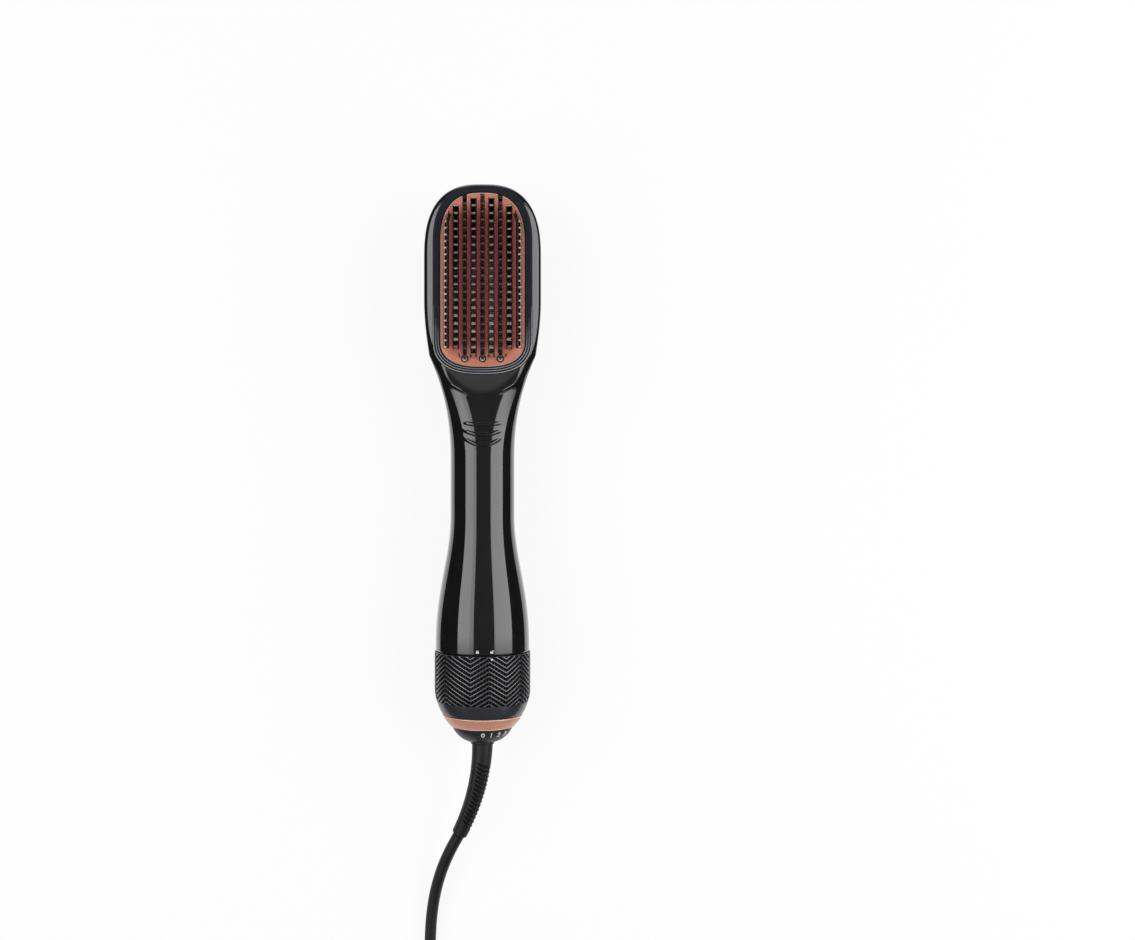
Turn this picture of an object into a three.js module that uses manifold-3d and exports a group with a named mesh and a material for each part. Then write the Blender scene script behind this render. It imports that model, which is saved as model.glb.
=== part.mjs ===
// A hair styler: a paddle brush that blows hot air, lying on its back with its bristles up.
// Millimetres. Z is up, Y runs along the handle towards the head, X is to the right.
// The origin is on the table, under the middle of the brush without its cord.

import * as THREE from "three";
import { mergeVertices } from "three/addons/utils/BufferGeometryUtils.js";
import Module from "manifold-3d";

const wasm = await Module();
wasm.setup();

// Lengths along the handle, from the cord end to the tip of the head
const dial_length = 9.0;
const trim_length = 7.1;
const filter_length = 37.2;
const bell_length = 79.0;
const waist_length = 33.0;
const neck_length = 59.9;
const head_length = 99.4;

// Outline of the body, as radii and half-widths about the handle axis
const rear_radius = 27.7;
const waist_radius = 18.9;
const kink_half_width = 31.0;
const head_half_width = 33.9;
const head_swell_length = 32.5;
const head_round_length = 43.0;
const lift_length = 80.0;
const head_edge_rise = 13.3;
const head_face_rise = 20.3;
const face_round_length = 14.0;
const back_round_length = 72.0;
const rest_flat_depth = 0.7;
const face_power = 3.2;
const back_power = 2.4;
const tip_power = 2.6;
const shell_wall = 2.0;
const parting_gap = 0.3;

// Air filter, trim ring and dial at the cord end
const filter_radius = 28.2;
const filter_wall = 2.4;
const filter_tail_radius = 23.6;
const filter_taper_length = 12.2;
const trim_edge_radius = 18.9;
const dial_radius = 17.8;
const dial_end_radius = 8.3;
const dial_lip = 1.6;
const dome_power = 1.5;
const basket_wall = 1.3;
const basket_slots = 8;
const vent_columns = 16;
const vent_rows = 2;
const vent_width = 1.6;
const vent_length = 8.0;
const vent_angle = 32;

// Cord and its strain relief
const cord_radius = 3.5;
const relief_radius = 6.2;
const relief_end_radius = 4.6;
const relief_collar_radius = 7.0;
const relief_root_radius = 5.6;
const relief_flange_radius = 7.8;
const relief_length = 58.0;
const relief_sway = 14.0;
const relief_droop = 9.0;

// Head: bezel, heat plate, combs and bristles
const bezel_half_width = 28.4;
const bezel_tip_margin = 2.3;
const bezel_length = 108.1;
const bezel_low_round = 20.0;
const bezel_tip_round = 34.0;
const pad_power = 2.6;
const bezel_border = 4.2;
const bezel_lip = 1.6;
const bezel_proud = 0.8;
const bezel_depth = 5.4;
const ledge_width = 2.2;
const ledge_thickness = 1.4;
const plate_recess = 1.1;
const plate_thickness = 1.6;
const column_pitch = 5.1;
const row_pitch = 4.53;
const pin_slot_width = 2.4;
const ladder_slot_width = 4.4;
const side_slot_width = 3.4;
const side_column = 20.3;
const window_width = 2.4;
const window_length = 2.9;
const pin_low_margin = 4.2;
const inner_low_margin = 8.6;
const outer_low_margin = 12.8;
const comb_depth = 2.6;
const comb_recess = 0.5;
const tie_width = 2.2;
const tie_thickness = 1.2;
const pin_height = 14.6;
const pin_radius = 0.75;
const pin_ball_radius = 1.15;
const bristle_height = 13.6;
const bristle_radius = 0.4;
const side_line_offset = 0.8;
const side_pitch = 2.9;
const shield_wall = 1.0;

// Tail frame and the switch
const tail_wall = 1.6;
const barrel_radius = 22.8;
const collar_length = 7.0;
const stem_radius = 9.0;
const rear_wall_thickness = 2.0;
const tail_windows = 6;
const tail_window_width = 14.0;
const shelf_half_width = 9.5;
const shelf_drop = 3.7;
const shelf_thickness = 7.3;
const shelf_length = 13.0;
const board_thickness = 1.3;
const board_radius = 15.6;
const wiper_thickness = 1.0;
const wiper_radius = 15.0;
const leaf_reach = 5.0;
const leaf_thickness = 0.4;
const leaf_width = 1.2;

// Cord clamp and inner wiring
const cable_radius = 3.3;
const cable_length = 13.4;
const clamp_length = 6.0;
const clamp_half_width = 9.0;
const clamp_height = 5.5;
const screw_spacing = 12.8;
const screw_radius = 1.2;
const screw_head_radius = 2.3;
const screw_head_height = 1.7;
const lead_radius = 0.9;
const lead_angle = 20;

// Fan, motor and heater
const duct_radius = 18.2;
const duct_wall = 1.4;
const duct_length = 34.0;
const duct_setback = 10.0;
const cup_wall = 1.2;
const vane_count = 5;
const vane_thickness = 1.6;
const blade_count = 6;
const blade_thickness = 1.2;
const hub_radius = 6.5;
const fan_length = 12.0;
const fan_setback = 2.0;
const shaft_radius = 1.15;
const bush_radius = 3.0;
const can_radius = 12.2;
const can_wall = 0.9;
const can_length = 27.7;
const magnet_wall = 1.8;
const magnet_span = 130;
const armature_radius = 8.6;
const armature_length = 18.0;
const commutator_radius = 3.2;
const commutator_length = 3.5;
const brush_width = 2.4;
const brush_length = 4.6;
const end_bell_thickness = 2.0;
const rectifier_radius = 13.0;
const rectifier_thickness = 1.6;
const heater_radius = 14.2;
const heater_wall = 0.6;
const heater_length = 72.0;
const mica_thickness = 1.0;
const mica_half_width = 10.4;
const mica_tab_length = 4.0;
const coil_wire_radius = 0.6;
const coil_turns = 6;
const thermostat_length = 8.0;
const thermostat_width = 7.0;
const thermostat_height = 3.4;
const fuse_radius = 1.5;
const fuse_length = 10.0;
const rib_width = 2.0;
const tongue_length = 12.0;
const tongue_depth = 3.0;

// Clearances
const clearance = 0.3;
const running_gap = 0.4;

// Places that follow from the sizes
const y_tail = -(dial_length + trim_length + filter_length + bell_length + waist_length
  + neck_length + head_length) / 2;
const y_trim = y_tail + dial_length;
const y_filter = y_trim + trim_length;
const y_body = y_filter + filter_length;
const y_waist = y_body + bell_length;
const y_neck = y_waist + waist_length;
const y_kink = y_neck + neck_length;
const y_tip = y_kink + head_length;
const z_axis = filter_radius;
const z_edge = z_axis + head_edge_rise;
const z_face = z_axis + head_face_rise;

// Geometry helpers

// The same geometry with its faces pointing out.
function facingOut(geometry) {
  const plain = geometry.index ? geometry.toNonIndexed() : geometry.clone();
  for (const name of Object.keys(plain.attributes)) {
    if (name !== "position") plain.deleteAttribute(name);
  }
  const merged = mergeVertices(plain, 1e-4);
  const p = merged.attributes.position;
  const index = merged.index.array;
  const a = new THREE.Vector3();
  const b = new THREE.Vector3();
  const c = new THREE.Vector3();
  let volume = 0;
  for (let i = 0; i < index.length; i += 3) {
    a.fromBufferAttribute(p, index[i]);
    b.fromBufferAttribute(p, index[i + 1]);
    c.fromBufferAttribute(p, index[i + 2]);
    volume += a.dot(b.cross(c));
  }
  if (volume < 0) {
    for (let i = 0; i < index.length; i += 3) {
      [index[i + 1], index[i + 2]] = [index[i + 2], index[i + 1]];
    }
  }
  return merged;
}

// A solid that can be joined and cut, from a closed geometry.
function solid(geometry) {
  const merged = facingOut(geometry);
  return new wasm.Manifold(new wasm.Mesh({
    numProp: 3,
    vertProperties: merged.attributes.position.array,
    triVerts: new Uint32Array(merged.index.array),
  }));
}

function joined(bodies) {
  return wasm.Manifold.union(bodies);
}

function geometryOf(body) {
  const mesh = body.getMesh();
  const geometry = new THREE.BufferGeometry();
  geometry.setAttribute("position", new THREE.BufferAttribute(mesh.vertProperties.slice(), 3));
  geometry.setIndex(new THREE.BufferAttribute(mesh.triVerts.slice(), 1));
  return geometry;
}

// A body of revolution about Y from a closed list of [radius, y].
function turned(profile, segments = 32) {
  const points = profile.map(([r, y]) => new THREE.Vector2(r, y));
  const first = points[0];
  const last = points[points.length - 1];
  if (first.x > 0 || last.x > 0) points.push(first.clone());
  return new THREE.LatheGeometry(points, segments);
}

function tube(outer, inner, y0, y1, segments = 32) {
  return turned([[inner, y0], [outer, y0], [outer, y1], [inner, y1]], segments);
}

function rod(radius, y0, y1, segments = 16) {
  return turned([[0, y0], [radius, y0], [radius, y1], [0, y1]], segments);
}

// Radius of a faceted bore that clears a round piece inside it.
function boreRound(radius, segments) {
  return (radius + clearance) / Math.cos(Math.PI / segments);
}

function block(x0, x1, y0, y1, z0, z1) {
  const geometry = new THREE.BoxGeometry(x1 - x0, y1 - y0, z1 - z0);
  return geometry.translate((x0 + x1) / 2, (y0 + y1) / 2, (z0 + z1) / 2);
}

function slab(shape, z0, z1) {
  const geometry = new THREE.ExtrudeGeometry(shape, { depth: z1 - z0, bevelEnabled: false });
  return geometry.translate(0, 0, z0);
}

function rectangle(x0, x1, y0, y1) {
  return [[x0, y0], [x1, y0], [x1, y1], [x0, y1]].map(([x, y]) => new THREE.Vector2(x, y));
}

// A closed surface through rings of points, each end closed about the middle of its ring.
function loft(rings) {
  const count = rings[0].length;
  const positions = [];
  const index = [];
  for (const ring of rings) {
    for (const p of ring) positions.push(p.x, p.y, p.z);
  }
  for (let k = 0; k + 1 < rings.length; k++) {
    for (let i = 0; i < count; i++) {
      const a = k * count + i;
      const b = k * count + (i + 1) % count;
      index.push(a, b, b + count, a, b + count, a + count);
    }
  }
  for (const [k, flip] of [[0, true], [rings.length - 1, false]]) {
    const middle = new THREE.Vector3();
    for (const p of rings[k]) middle.addScaledVector(p, 1 / count);
    const m = positions.length / 3;
    positions.push(middle.x, middle.y, middle.z);
    for (let i = 0; i < count; i++) {
      const a = k * count + i;
      const b = k * count + (i + 1) % count;
      if (flip) index.push(m, b, a);
      else index.push(m, a, b);
    }
  }
  const geometry = new THREE.BufferGeometry();
  geometry.setAttribute("position", new THREE.BufferAttribute(new Float32Array(positions), 3));
  geometry.setIndex(index);
  return geometry;
}

// A round cord of even thickness along a curve.
function cordAlong(curve, radius, sides, steps) {
  const section = new THREE.Shape();
  for (let i = 0; i < sides; i++) {
    const turn = (i * 2 * Math.PI) / sides;
    section[i ? "lineTo" : "moveTo"](radius * Math.cos(turn), radius * Math.sin(turn));
  }
  section.closePath();
  return new THREE.ExtrudeGeometry(section, { extrudePath: curve, steps, bevelEnabled: false });
}

function smooth(t) {
  const s = Math.min(1, Math.max(0, t));
  return s * s * (3 - 2 * s);
}

function radians(degrees) {
  return (degrees * Math.PI) / 180;
}

// Outline of the body

// How much of its full size a section still has near the tip of the head.
function tipShare(y, span, power, inset) {
  const t = Math.min(1, Math.max(0, (y - (y_tip - span)) / (span - inset)));
  return (1 - t ** power) ** (1 / power);
}

function outlineWidth(y) {
  if (y <= y_waist) {
    const s = Math.max(0, (y - y_body) / bell_length) ** 1.2;
    return waist_radius + ((rear_radius - waist_radius) * (1 + Math.cos(Math.PI * s))) / 2;
  }
  if (y <= y_neck) return waist_radius;
  if (y <= y_kink) {
    return waist_radius + (kink_half_width - waist_radius) * ((y - y_neck) / neck_length) ** 2.3;
  }
  const s = Math.min(1, (y - y_kink) / head_swell_length);
  return kink_half_width + (head_half_width - kink_half_width) * Math.sin((Math.PI / 2) * s);
}

// Half-width, heights and roundness of the body at y, drawn in by inset.
function sectionAt(y, inset) {
  const lift = smooth((y - y_neck) / lift_length);
  const handle = outlineWidth(Math.min(y, y_neck));
  const middle = z_axis + (z_edge - z_axis) * lift;
  const top = (z_axis + handle) * (1 - lift) + z_face * lift;
  const bottom = (z_axis - handle) * (1 - lift) - rest_flat_depth * lift;
  return {
    middle,
    width: (outlineWidth(y) - inset) * tipShare(y, head_round_length, tip_power, inset),
    above: (top - middle - inset) * tipShare(y, face_round_length, 2.2, inset),
    below: (middle - bottom - inset) * tipShare(y, back_round_length, 2.2, inset),
    facePower: 2 + (face_power - 2) * lift,
    backPower: 2 + (back_power - 2) * lift,
  };
}

// Places along the body where a section is drawn, closer together at the tip.
function stations(inset, start) {
  const list = [];
  const spread = (from, to, count) => {
    for (let i = 0; i < count; i++) list.push(from + ((to - from) * i) / count);
  };
  const round_start = y_tip - head_round_length;
  spread(start, y_waist, 5);
  spread(y_waist, y_neck, 1);
  spread(y_neck, y_kink, 6);
  spread(y_kink, round_start, 3);
  for (let i = 0; i <= 6; i++) {
    list.push(round_start + (head_round_length - inset) * Math.sin(((Math.PI / 2) * i) / 6));
  }
  return list;
}

// Steps of a half section: finer outside than inside.
const outer_steps = 10;
const inner_steps = 8;
const inner_facet = Math.cos(Math.PI / (2 * inner_steps));

function arcPoints(y, section, side, inset_edge, arc_steps) {
  const points = [];
  const height = side > 0 ? section.above : section.below;
  const power = side > 0 ? section.facePower : section.backPower;
  for (let i = 0; i <= arc_steps; i++) {
    const turn = (Math.PI * i) / arc_steps;
    const c = Math.cos(turn);
    const x = section.width * Math.sign(c) * Math.abs(c) ** (2 / power);
    const z = height * Math.max(0, Math.sin(turn)) ** (2 / power);
    points.push(new THREE.Vector3(x, y, section.middle + side * (inset_edge + z)));
  }
  return points;
}

// The whole outline as one solid.
function wholeBody(inset, start) {
  return solid(loft(stations(inset, start).map((y) => {
    const section = sectionAt(y, inset);
    const top = arcPoints(y, section, 1, 0, inner_steps);
    const bottom = arcPoints(y, section, -1, 0, inner_steps).reverse();
    return top.concat(bottom.slice(1, -1));
  })));
}

// The outline above the parting line (side 1) or below it (side -1).
function halfBody(side, inset, start) {
  return solid(loft(stations(inset, start).map((y) => {
    const section = sectionAt(y, inset);
    const gap = parting_gap / 2;
    const height = side > 0 ? "above" : "below";
    section[height] = Math.max(0, section[height] - gap);
    return arcPoints(y, section, side, gap, inset ? inner_steps : outer_steps);
  })));
}

// The rounded outline of the bezel opening, drawn in by inset.
const y_bezel_high = y_tip - bezel_tip_margin;
const y_bezel_low = y_bezel_high - bezel_length;

function padOutline(inset, steps = 7) {
  const half = bezel_half_width - inset;
  const low = bezel_low_round - inset;
  const high = bezel_tip_round - inset;
  const points = [];
  const power = 2 / pad_power;
  for (let i = 0; i <= steps; i++) {
    const turn = ((Math.PI / 2) * i) / steps;
    const c = Math.max(0, Math.cos(turn)) ** power;
    const s = Math.max(0, Math.sin(turn)) ** power;
    points.push(new THREE.Vector2(half * s, y_bezel_low + inset + low * (1 - c)));
  }
  for (let i = 0; i <= steps; i++) {
    const turn = ((Math.PI / 2) * i) / steps;
    const c = Math.max(0, Math.cos(turn)) ** power;
    const s = Math.max(0, Math.sin(turn)) ** power;
    points.push(new THREE.Vector2(half * c, y_bezel_high - inset - high * (1 - s)));
  }
  const left = points.slice(1, -1).reverse().map((p) => new THREE.Vector2(-p.x, p.y));
  return points.concat(left);
}

// Where the outline drawn in by inset crosses x, at its handle end and at its tip end.
function padEnds(x, inset) {
  const across = Math.min(1, Math.abs(x) / (bezel_half_width - inset));
  const share = (1 - across ** pad_power) ** (1 / pad_power);
  return {
    low: y_bezel_low + inset + (bezel_low_round - inset) * (1 - share),
    high: y_bezel_high - inset - (bezel_tip_round - inset) * (1 - share),
  };
}

// Finishes

function finish(color, roughness, metalness = 0) {
  return () => new THREE.MeshStandardMaterial({ color, roughness, metalness });
}

const gloss_black = finish(0x0b0c0e, 0.16);
const satin_black = finish(0x17191c, 0.5);
const bezel_black = finish(0x23262d, 0.65);
const soft_black = finish(0x141416, 0.75);
const copper = finish(0xc8786a, 0.35, 0.8);
const steel = finish(0xb6b9bd, 0.35, 1);
const brass = finish(0xc9a55c, 0.35, 1);
const dark_iron = finish(0x3c3b3a, 0.7, 0.6);
const grey_plastic = finish(0x6d7074, 0.6);
const mica = finish(0xc9b48c, 0.6);
const board_green = finish(0x2c5a3c, 0.6);
const brown_wire = finish(0x6b3b22, 0.6);
const blue_wire = finish(0x274a86, 0.6);

// The scene graph

const styler = new THREE.Group();
const on_axis = new THREE.Group();
on_axis.position.z = z_axis;
styler.add(on_axis);

function add(parent, name, body, material) {
  const geometry = body.isBufferGeometry ? facingOut(body) : geometryOf(body);
  geometry.computeVertexNormals();
  const mesh = new THREE.Mesh(geometry, material);
  mesh.name = name;
  parent.add(mesh);
  return mesh;
}

// Fan, motor and heater places, measured along the axis

const y_duct = y_body + duct_setback;
const y_duct_end = y_duct + duct_length;
const y_fan = y_duct + fan_setback;
const y_fan_end = y_fan + fan_length;
const y_cup = y_fan_end + 1.0;
const y_can = y_cup + cup_wall + clearance;
const y_can_end = y_can + can_length;
const y_bell = y_can_end + clearance;
const y_bell_end = y_bell + end_bell_thickness;
const y_rectifier = y_bell_end + clearance;
const y_heater = y_rectifier + rectifier_thickness + 7.0;
const y_heater_end = y_heater + heater_length;

// Shells

const cavity = wholeBody(shell_wall, y_body - 1);
const inner_skin = wholeBody(shell_wall - 0.5, y_body + 0.5);

// Ring ribs that carry the duct and the heater, open below for the leads.
function carryingRibs() {
  const rings = [];
  for (const [y, radius] of [
    [y_duct + 6, duct_radius],
    [y_duct_end - 6, duct_radius],
    [y_heater + 10, heater_radius],
    [y_heater_end - 14, heater_radius],
  ]) {
    rings.push(solid(tube(rear_radius + 2, boreRound(radius, 12), y, y + rib_width, 12)));
  }
  const lead_way = solid(block(-shelf_half_width, shelf_half_width, y_body, y_heater_end,
    -rear_radius - 3, -8));
  return joined(rings).subtract(lead_way).translate([0, 0, z_axis]).intersect(inner_skin);
}

// The ledge inside the head that the bezel sits on.
function bezelLedge() {
  const z_top = z_face + bezel_proud - bezel_depth - clearance;
  const shape = new THREE.Shape(padOutline(-4));
  shape.holes.push(new THREE.Path(padOutline(ledge_width)));
  return solid(slab(shape, z_top - ledge_thickness, z_top)).intersect(inner_skin);
}

// Tongues of the front shell that reach inside the back shell and line the two up.
function tongues() {
  const sleeve = wholeBody(shell_wall + clearance, y_body + 0.5)
    .subtract(wholeBody(shell_wall + clearance + 1.4, y_body));
  const root = inner_skin.subtract(wholeBody(shell_wall + clearance + 1.4, y_body));
  const pieces = [];
  for (const middle of [(y_duct_end + y_heater) / 2, (y_heater + y_heater_end) / 2]) {
    const y = middle - tongue_length / 2;
    const reach = rear_radius + 5;
    const below = solid(block(-reach, reach, y, y + tongue_length, z_axis - tongue_depth, z_axis + 2));
    const above = solid(block(-reach, reach, y, y + tongue_length, z_axis + parting_gap / 2, z_axis + 2));
    pieces.push(sleeve.intersect(below), root.intersect(above));
  }
  return joined(pieces);
}

const ribs = carryingRibs();
const bezel_way = solid(slab(new THREE.Shape(padOutline(-clearance)), z_edge + 2, z_face + 10));
const front_half = halfBody(1, 0, y_body);
const back_half = halfBody(-1, 0, y_body);
const table_cut = solid(block(-200, 200, -400, 400, -50, 0));

// Three smile-shaped thumb ridges on the front of the neck, flatter towards the head.
const ridge_pitch = 5.8;
const ridge_half_width = 11.0;
const ridge_dips = [4.6, 3.0, 1.55];
const ridge_radius = 0.9;
const y_ridges = y_neck + 8.1;

class Smile extends THREE.Curve {
  constructor(y, dip) {
    super();
    this.y = y;
    this.dip = dip;
  }

  getPoint(t, target = new THREE.Vector3()) {
    const x = ridge_half_width * (2 * t - 1);
    const y = this.y + this.dip * (x / ridge_half_width) ** 2;
    const section = sectionAt(y, 0);
    const power = section.facePower;
    const rise = (1 - (Math.abs(x) / section.width) ** power) ** (1 / power);
    return target.set(x, y, section.middle + section.above * rise - 0.35);
  }
}

function thumbRidges() {
  return joined(ridge_dips.map((dip, i) => {
    const line = new Smile(y_ridges + i * ridge_pitch, dip);
    return solid(cordAlong(line, ridge_radius, 6, 6));
  }));
}

function frontShell() {
  return front_half.subtract(cavity).subtract(bezel_way)
    .add(bezelLedge().intersect(front_half))
    .add(ribs.intersect(front_half))
    .add(thumbRidges())
    .add(tongues());
}

function backShell() {
  return back_half.subtract(cavity).add(ribs.intersect(back_half)).subtract(table_cut);
}

add(styler, "front_shell", frontShell(), gloss_black());
add(styler, "back_shell", backShell(), gloss_black());

// Head

const z_bezel = z_face + bezel_proud;
const z_bezel_low = z_bezel - bezel_depth;
const z_plate = z_bezel - plate_recess;
const z_plate_low = z_plate - plate_thickness;
const z_lip = z_plate_low - clearance;

function headBezel() {
  const frame = new THREE.Shape(padOutline(0));
  frame.holes.push(new THREE.Path(padOutline(bezel_border - clearance)));
  const lip = new THREE.Shape(padOutline(0));
  lip.holes.push(new THREE.Path(padOutline(bezel_border + bezel_lip)));
  return joined([solid(slab(frame, z_lip, z_bezel)), solid(slab(lip, z_bezel_low, z_lip))]);
}

// Columns of the pad: pin rows at even columns, ladders of windows between them, side rows outside.
const y_plate_low = y_bezel_low + bezel_border;
const pin_columns = [-2, 0, 2].map((i) => i * column_pitch);
const ladder_columns = [-3, -1, 1, 3].map((i) => i * column_pitch);
const side_columns = [-side_column, side_column];

// First and last row line of a column at x, on the pitch that all the columns share.
function rowsOf(x, low_margin, half_width) {
  const ends = padEnds(Math.abs(x) + half_width, bezel_border + bezel_lip);
  const low = Math.max(y_plate_low + low_margin, ends.low + row_pitch / 2);
  const high = ends.high - row_pitch / 2;
  const first = Math.ceil((low - y_plate_low) / row_pitch);
  const last = Math.floor((high - y_plate_low) / row_pitch);
  return { first, last, low: rowY(first - 0.5), high: rowY(last + 0.5) };
}

function rowY(k) {
  return y_plate_low + k * row_pitch;
}

function columnOf(kind, x, width, low_margin) {
  return { kind, x, width, ...rowsOf(x, low_margin, width / 2) };
}

const columns = [
  ...pin_columns.map((x) => columnOf("pin", x, pin_slot_width, pin_low_margin)),
  ...ladder_columns.map((x) => columnOf("ladder", x, ladder_slot_width,
    Math.abs(x) < 2 * column_pitch ? inner_low_margin : outer_low_margin)),
  ...side_columns.map((x) => columnOf("side", x, side_slot_width, outer_low_margin)),
];

function heatPlate() {
  const plate = solid(slab(new THREE.Shape(padOutline(bezel_border)), z_plate_low, z_plate));
  const slots = columns.map((c) => solid(block(
    c.x - c.width / 2, c.x + c.width / 2, c.low, c.high, z_plate_low - 1, z_plate + 1)));
  return plate.subtract(joined(slots));
}

const z_comb = z_plate - comb_recess;
const z_comb_low = z_comb - comb_depth;
const tie_rows = [5, 14];

function barOf(c, z0, z1) {
  const half = c.width / 2 - clearance;
  const shape = new THREE.Shape(rectangle(c.x - half, c.x + half, c.low + clearance, c.high - clearance));
  if (c.kind === "ladder") {
    for (let k = c.first; k <= c.last; k++) {
      const y = rowY(k);
      shape.holes.push(new THREE.Path(rectangle(
        c.x - window_width / 2, c.x + window_width / 2, y - window_length / 2, y + window_length / 2,
      ).reverse()));
    }
  }
  return solid(slab(shape, z0, z1));
}

function crossTie(k, z0, half_length) {
  const y = rowY(k + 0.5);
  const half_width = tie_width / 2;
  return solid(block(-half_length, half_length, y - half_width, y + half_width, z0, z0 + tie_thickness));
}

// A thick pin standing on the comb, with a ball at its tip.
function ballPin(x, y) {
  const z0 = z_comb - 0.4;
  const z1 = z_comb + pin_height;
  const ball = pin_ball_radius;
  const profile = [[0, z0], [pin_radius, z0], [pin_radius * 0.8, z1 - 2 * ball], [ball, z1 - ball], [0, z1]];
  return solid(turned(profile, 4).rotateX(Math.PI / 2).translate(x, y, 0));
}

// A thin three-sided bristle that tapers to its tip.
function bristle(x, y) {
  const z0 = z_comb - 0.4;
  const profile = [[0, z0], [bristle_radius, z0], [0, z_comb + bristle_height]];
  return solid(turned(profile, 3).rotateX(Math.PI / 2).translate(x, y, 0));
}

// Pin comb: the three pin rows, tied together under the plate.
function pinComb() {
  const tie_z = z_comb_low - tie_thickness - clearance;
  const bodies = [];
  for (const c of columns.filter((column) => column.kind === "pin")) {
    bodies.push(barOf(c, tie_z, z_comb));
  }
  for (const k of tie_rows) bodies.push(crossTie(k + 2, tie_z, 2 * column_pitch));
  const notches = tie_rows.map((k) => {
    const y = rowY(k + 0.5);
    const half = tie_width / 2 + clearance;
    const top = z_comb_low + tie_thickness + clearance;
    return solid(block(-side_column, side_column, y - half, y + half, z_comb_low - clearance, top));
  });
  const pins = [];
  for (const c of columns.filter((column) => column.kind === "pin")) {
    for (let k = c.first; k <= c.last; k++) pins.push(ballPin(c.x, rowY(k)));
  }
  console.log("ball pins:", pins.length);
  return joined(bodies).subtract(joined(notches)).add(joined(pins));
}

// Bristle lattice: the ladders and the side rows, tied together under the plate.
function bristleLattice() {
  const bodies = [];
  const strands = [];
  for (const c of columns.filter((column) => column.kind !== "pin")) {
    bodies.push(barOf(c, z_comb_low, z_comb));
    if (c.kind === "ladder") {
      const edge = c.width / 2 - clearance - bristle_radius - 0.05;
      for (let k = c.first; k < c.last; k++) {
        for (const side of [-1, 1]) {
          strands.push(bristle(c.x + side * edge, rowY(k + 0.5)));
        }
      }
    } else {
      const count = Math.floor((c.high - c.low - 2) / side_pitch);
      for (let k = 0; k < count; k++) {
        const y = c.low + 1 + (k + 0.25) * side_pitch;
        strands.push(bristle(c.x - side_line_offset, y));
        strands.push(bristle(c.x + side_line_offset, y + side_pitch / 2));
      }
    }
  }
  for (const k of tie_rows) bodies.push(crossTie(k, z_comb_low, side_column));
  console.log("thin bristles:", strands.length);
  return joined(bodies).add(joined(strands));
}

// A thin liner that keeps the hot air off the back shell.
function heatShield() {
  const outer = halfBody(-1, shell_wall + clearance, y_body);
  const inner = wholeBody(shell_wall + clearance + shield_wall, y_body);
  return outer.subtract(inner).intersect(solid(block(-200, 200, y_kink + 2, y_tip, 0, z_face)));
}

add(styler, "head_bezel", headBezel(), bezel_black());
add(styler, "heat_plate", heatPlate(), copper());
add(styler, "pin_comb", pinComb(), satin_black());
add(styler, "bristle_lattice", bristleLattice(), satin_black());
add(styler, "heat_shield", heatShield(), steel());

// Air filter at the cord end

const sleeve_bore = filter_radius - filter_wall;
const trim_bore = dial_radius + running_gap;

function filterSleeve() {
  const wall = tube_profile();
  const body = solid(turned(wall, 32));
  const slots = [];
  const y_first = y_filter + filter_taper_length + vent_length / 2 - 1;
  const y_last = y_body - vent_length / 2 - 0.5;
  for (let column = 0; column < vent_columns; column++) {
    for (let row = 0; row < vent_rows; row++) {
      const y = y_first + ((y_last - y_first) * row) / Math.max(1, vent_rows - 1);
      const slot = block(-vent_width / 2, vent_width / 2, -vent_length / 2 + 1, vent_length / 2 - 1, -4, 4);
      slot.rotateZ(radians(column % 2 ? vent_angle : -vent_angle));
      slot.translate(0, y, filter_radius);
      slot.rotateY(((column + 0.25) * 2 * Math.PI) / vent_columns);
      slots.push(solid(slot));
    }
  }
  return body.subtract(joined(slots));
}

// Wall of the sleeve: straight at the grip, then drawn in to the trim ring.
function tube_profile() {
  const y_front = y_body - running_gap;
  const tail_bore = filter_tail_radius - 1.8;
  const y_taper = y_filter + filter_taper_length;
  const taper = (share) => filter_tail_radius + (filter_radius - filter_tail_radius) * share;
  return [
    [tail_bore, y_filter],
    [filter_tail_radius, y_filter],
    [taper(0.35), y_filter + filter_taper_length * 0.23],
    [taper(0.72), y_filter + filter_taper_length * 0.61],
    [filter_radius, y_taper],
    [filter_radius, y_front],
    [sleeve_bore, y_front],
    [sleeve_bore, y_taper],
  ];
}

function trimRing() {
  const y_front = y_filter - clearance;
  return turned([
    [trim_bore, y_trim],
    [trim_edge_radius - 0.3, y_trim],
    [trim_edge_radius, y_trim + 0.4],
    [filter_tail_radius - 1.2, y_filter - 1.9],
    [filter_tail_radius, y_front],
    [filter_tail_radius - 2, y_front],
    [trim_bore, y_trim + 1.4],
  ], 24);
}

function filterBasket() {
  const outer = sleeve_bore - running_gap;
  const y0 = y_filter + filter_taper_length + 1;
  const y1 = y_body - 2;
  const slots = [];
  for (let i = 0; i < basket_slots; i++) {
    const slot = block(-1.6, 1.6, y0 + 2, y1 - 2, outer - 3, outer + 2);
    slots.push(solid(slot.rotateY((i * 2 * Math.PI) / basket_slots)));
  }
  return solid(tube(outer, outer - basket_wall, y0, y1, 20)).subtract(joined(slots));
}

add(on_axis, "filter_sleeve", filterSleeve(), satin_black());
add(on_axis, "trim_ring", trimRing(), copper());
add(on_axis, "filter_basket", filterBasket(), satin_black());

// Tail frame, switch and dial

const y_switch = y_trim + 0.6;
const y_wiper = y_switch + clearance;
const y_board = y_wiper + wiper_thickness + 0.5;
const y_rear_wall = y_board + board_thickness + clearance;
const y_rear_wall_front = y_rear_wall + rear_wall_thickness;
const stem_bore = relief_root_radius + clearance;
const hub_bore = stem_radius + running_gap;
const y_flange = y_rear_wall_front + clearance;
const flange_thickness = 2.0;
const y_cable = y_flange + flange_thickness + clearance;
const y_clamp = y_cable + 2.0;

function shelfBlock(half_width, y0, y1, z0, z1) {
  return solid(block(-half_width, half_width, y0, y1, z0, z1));
}

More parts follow.
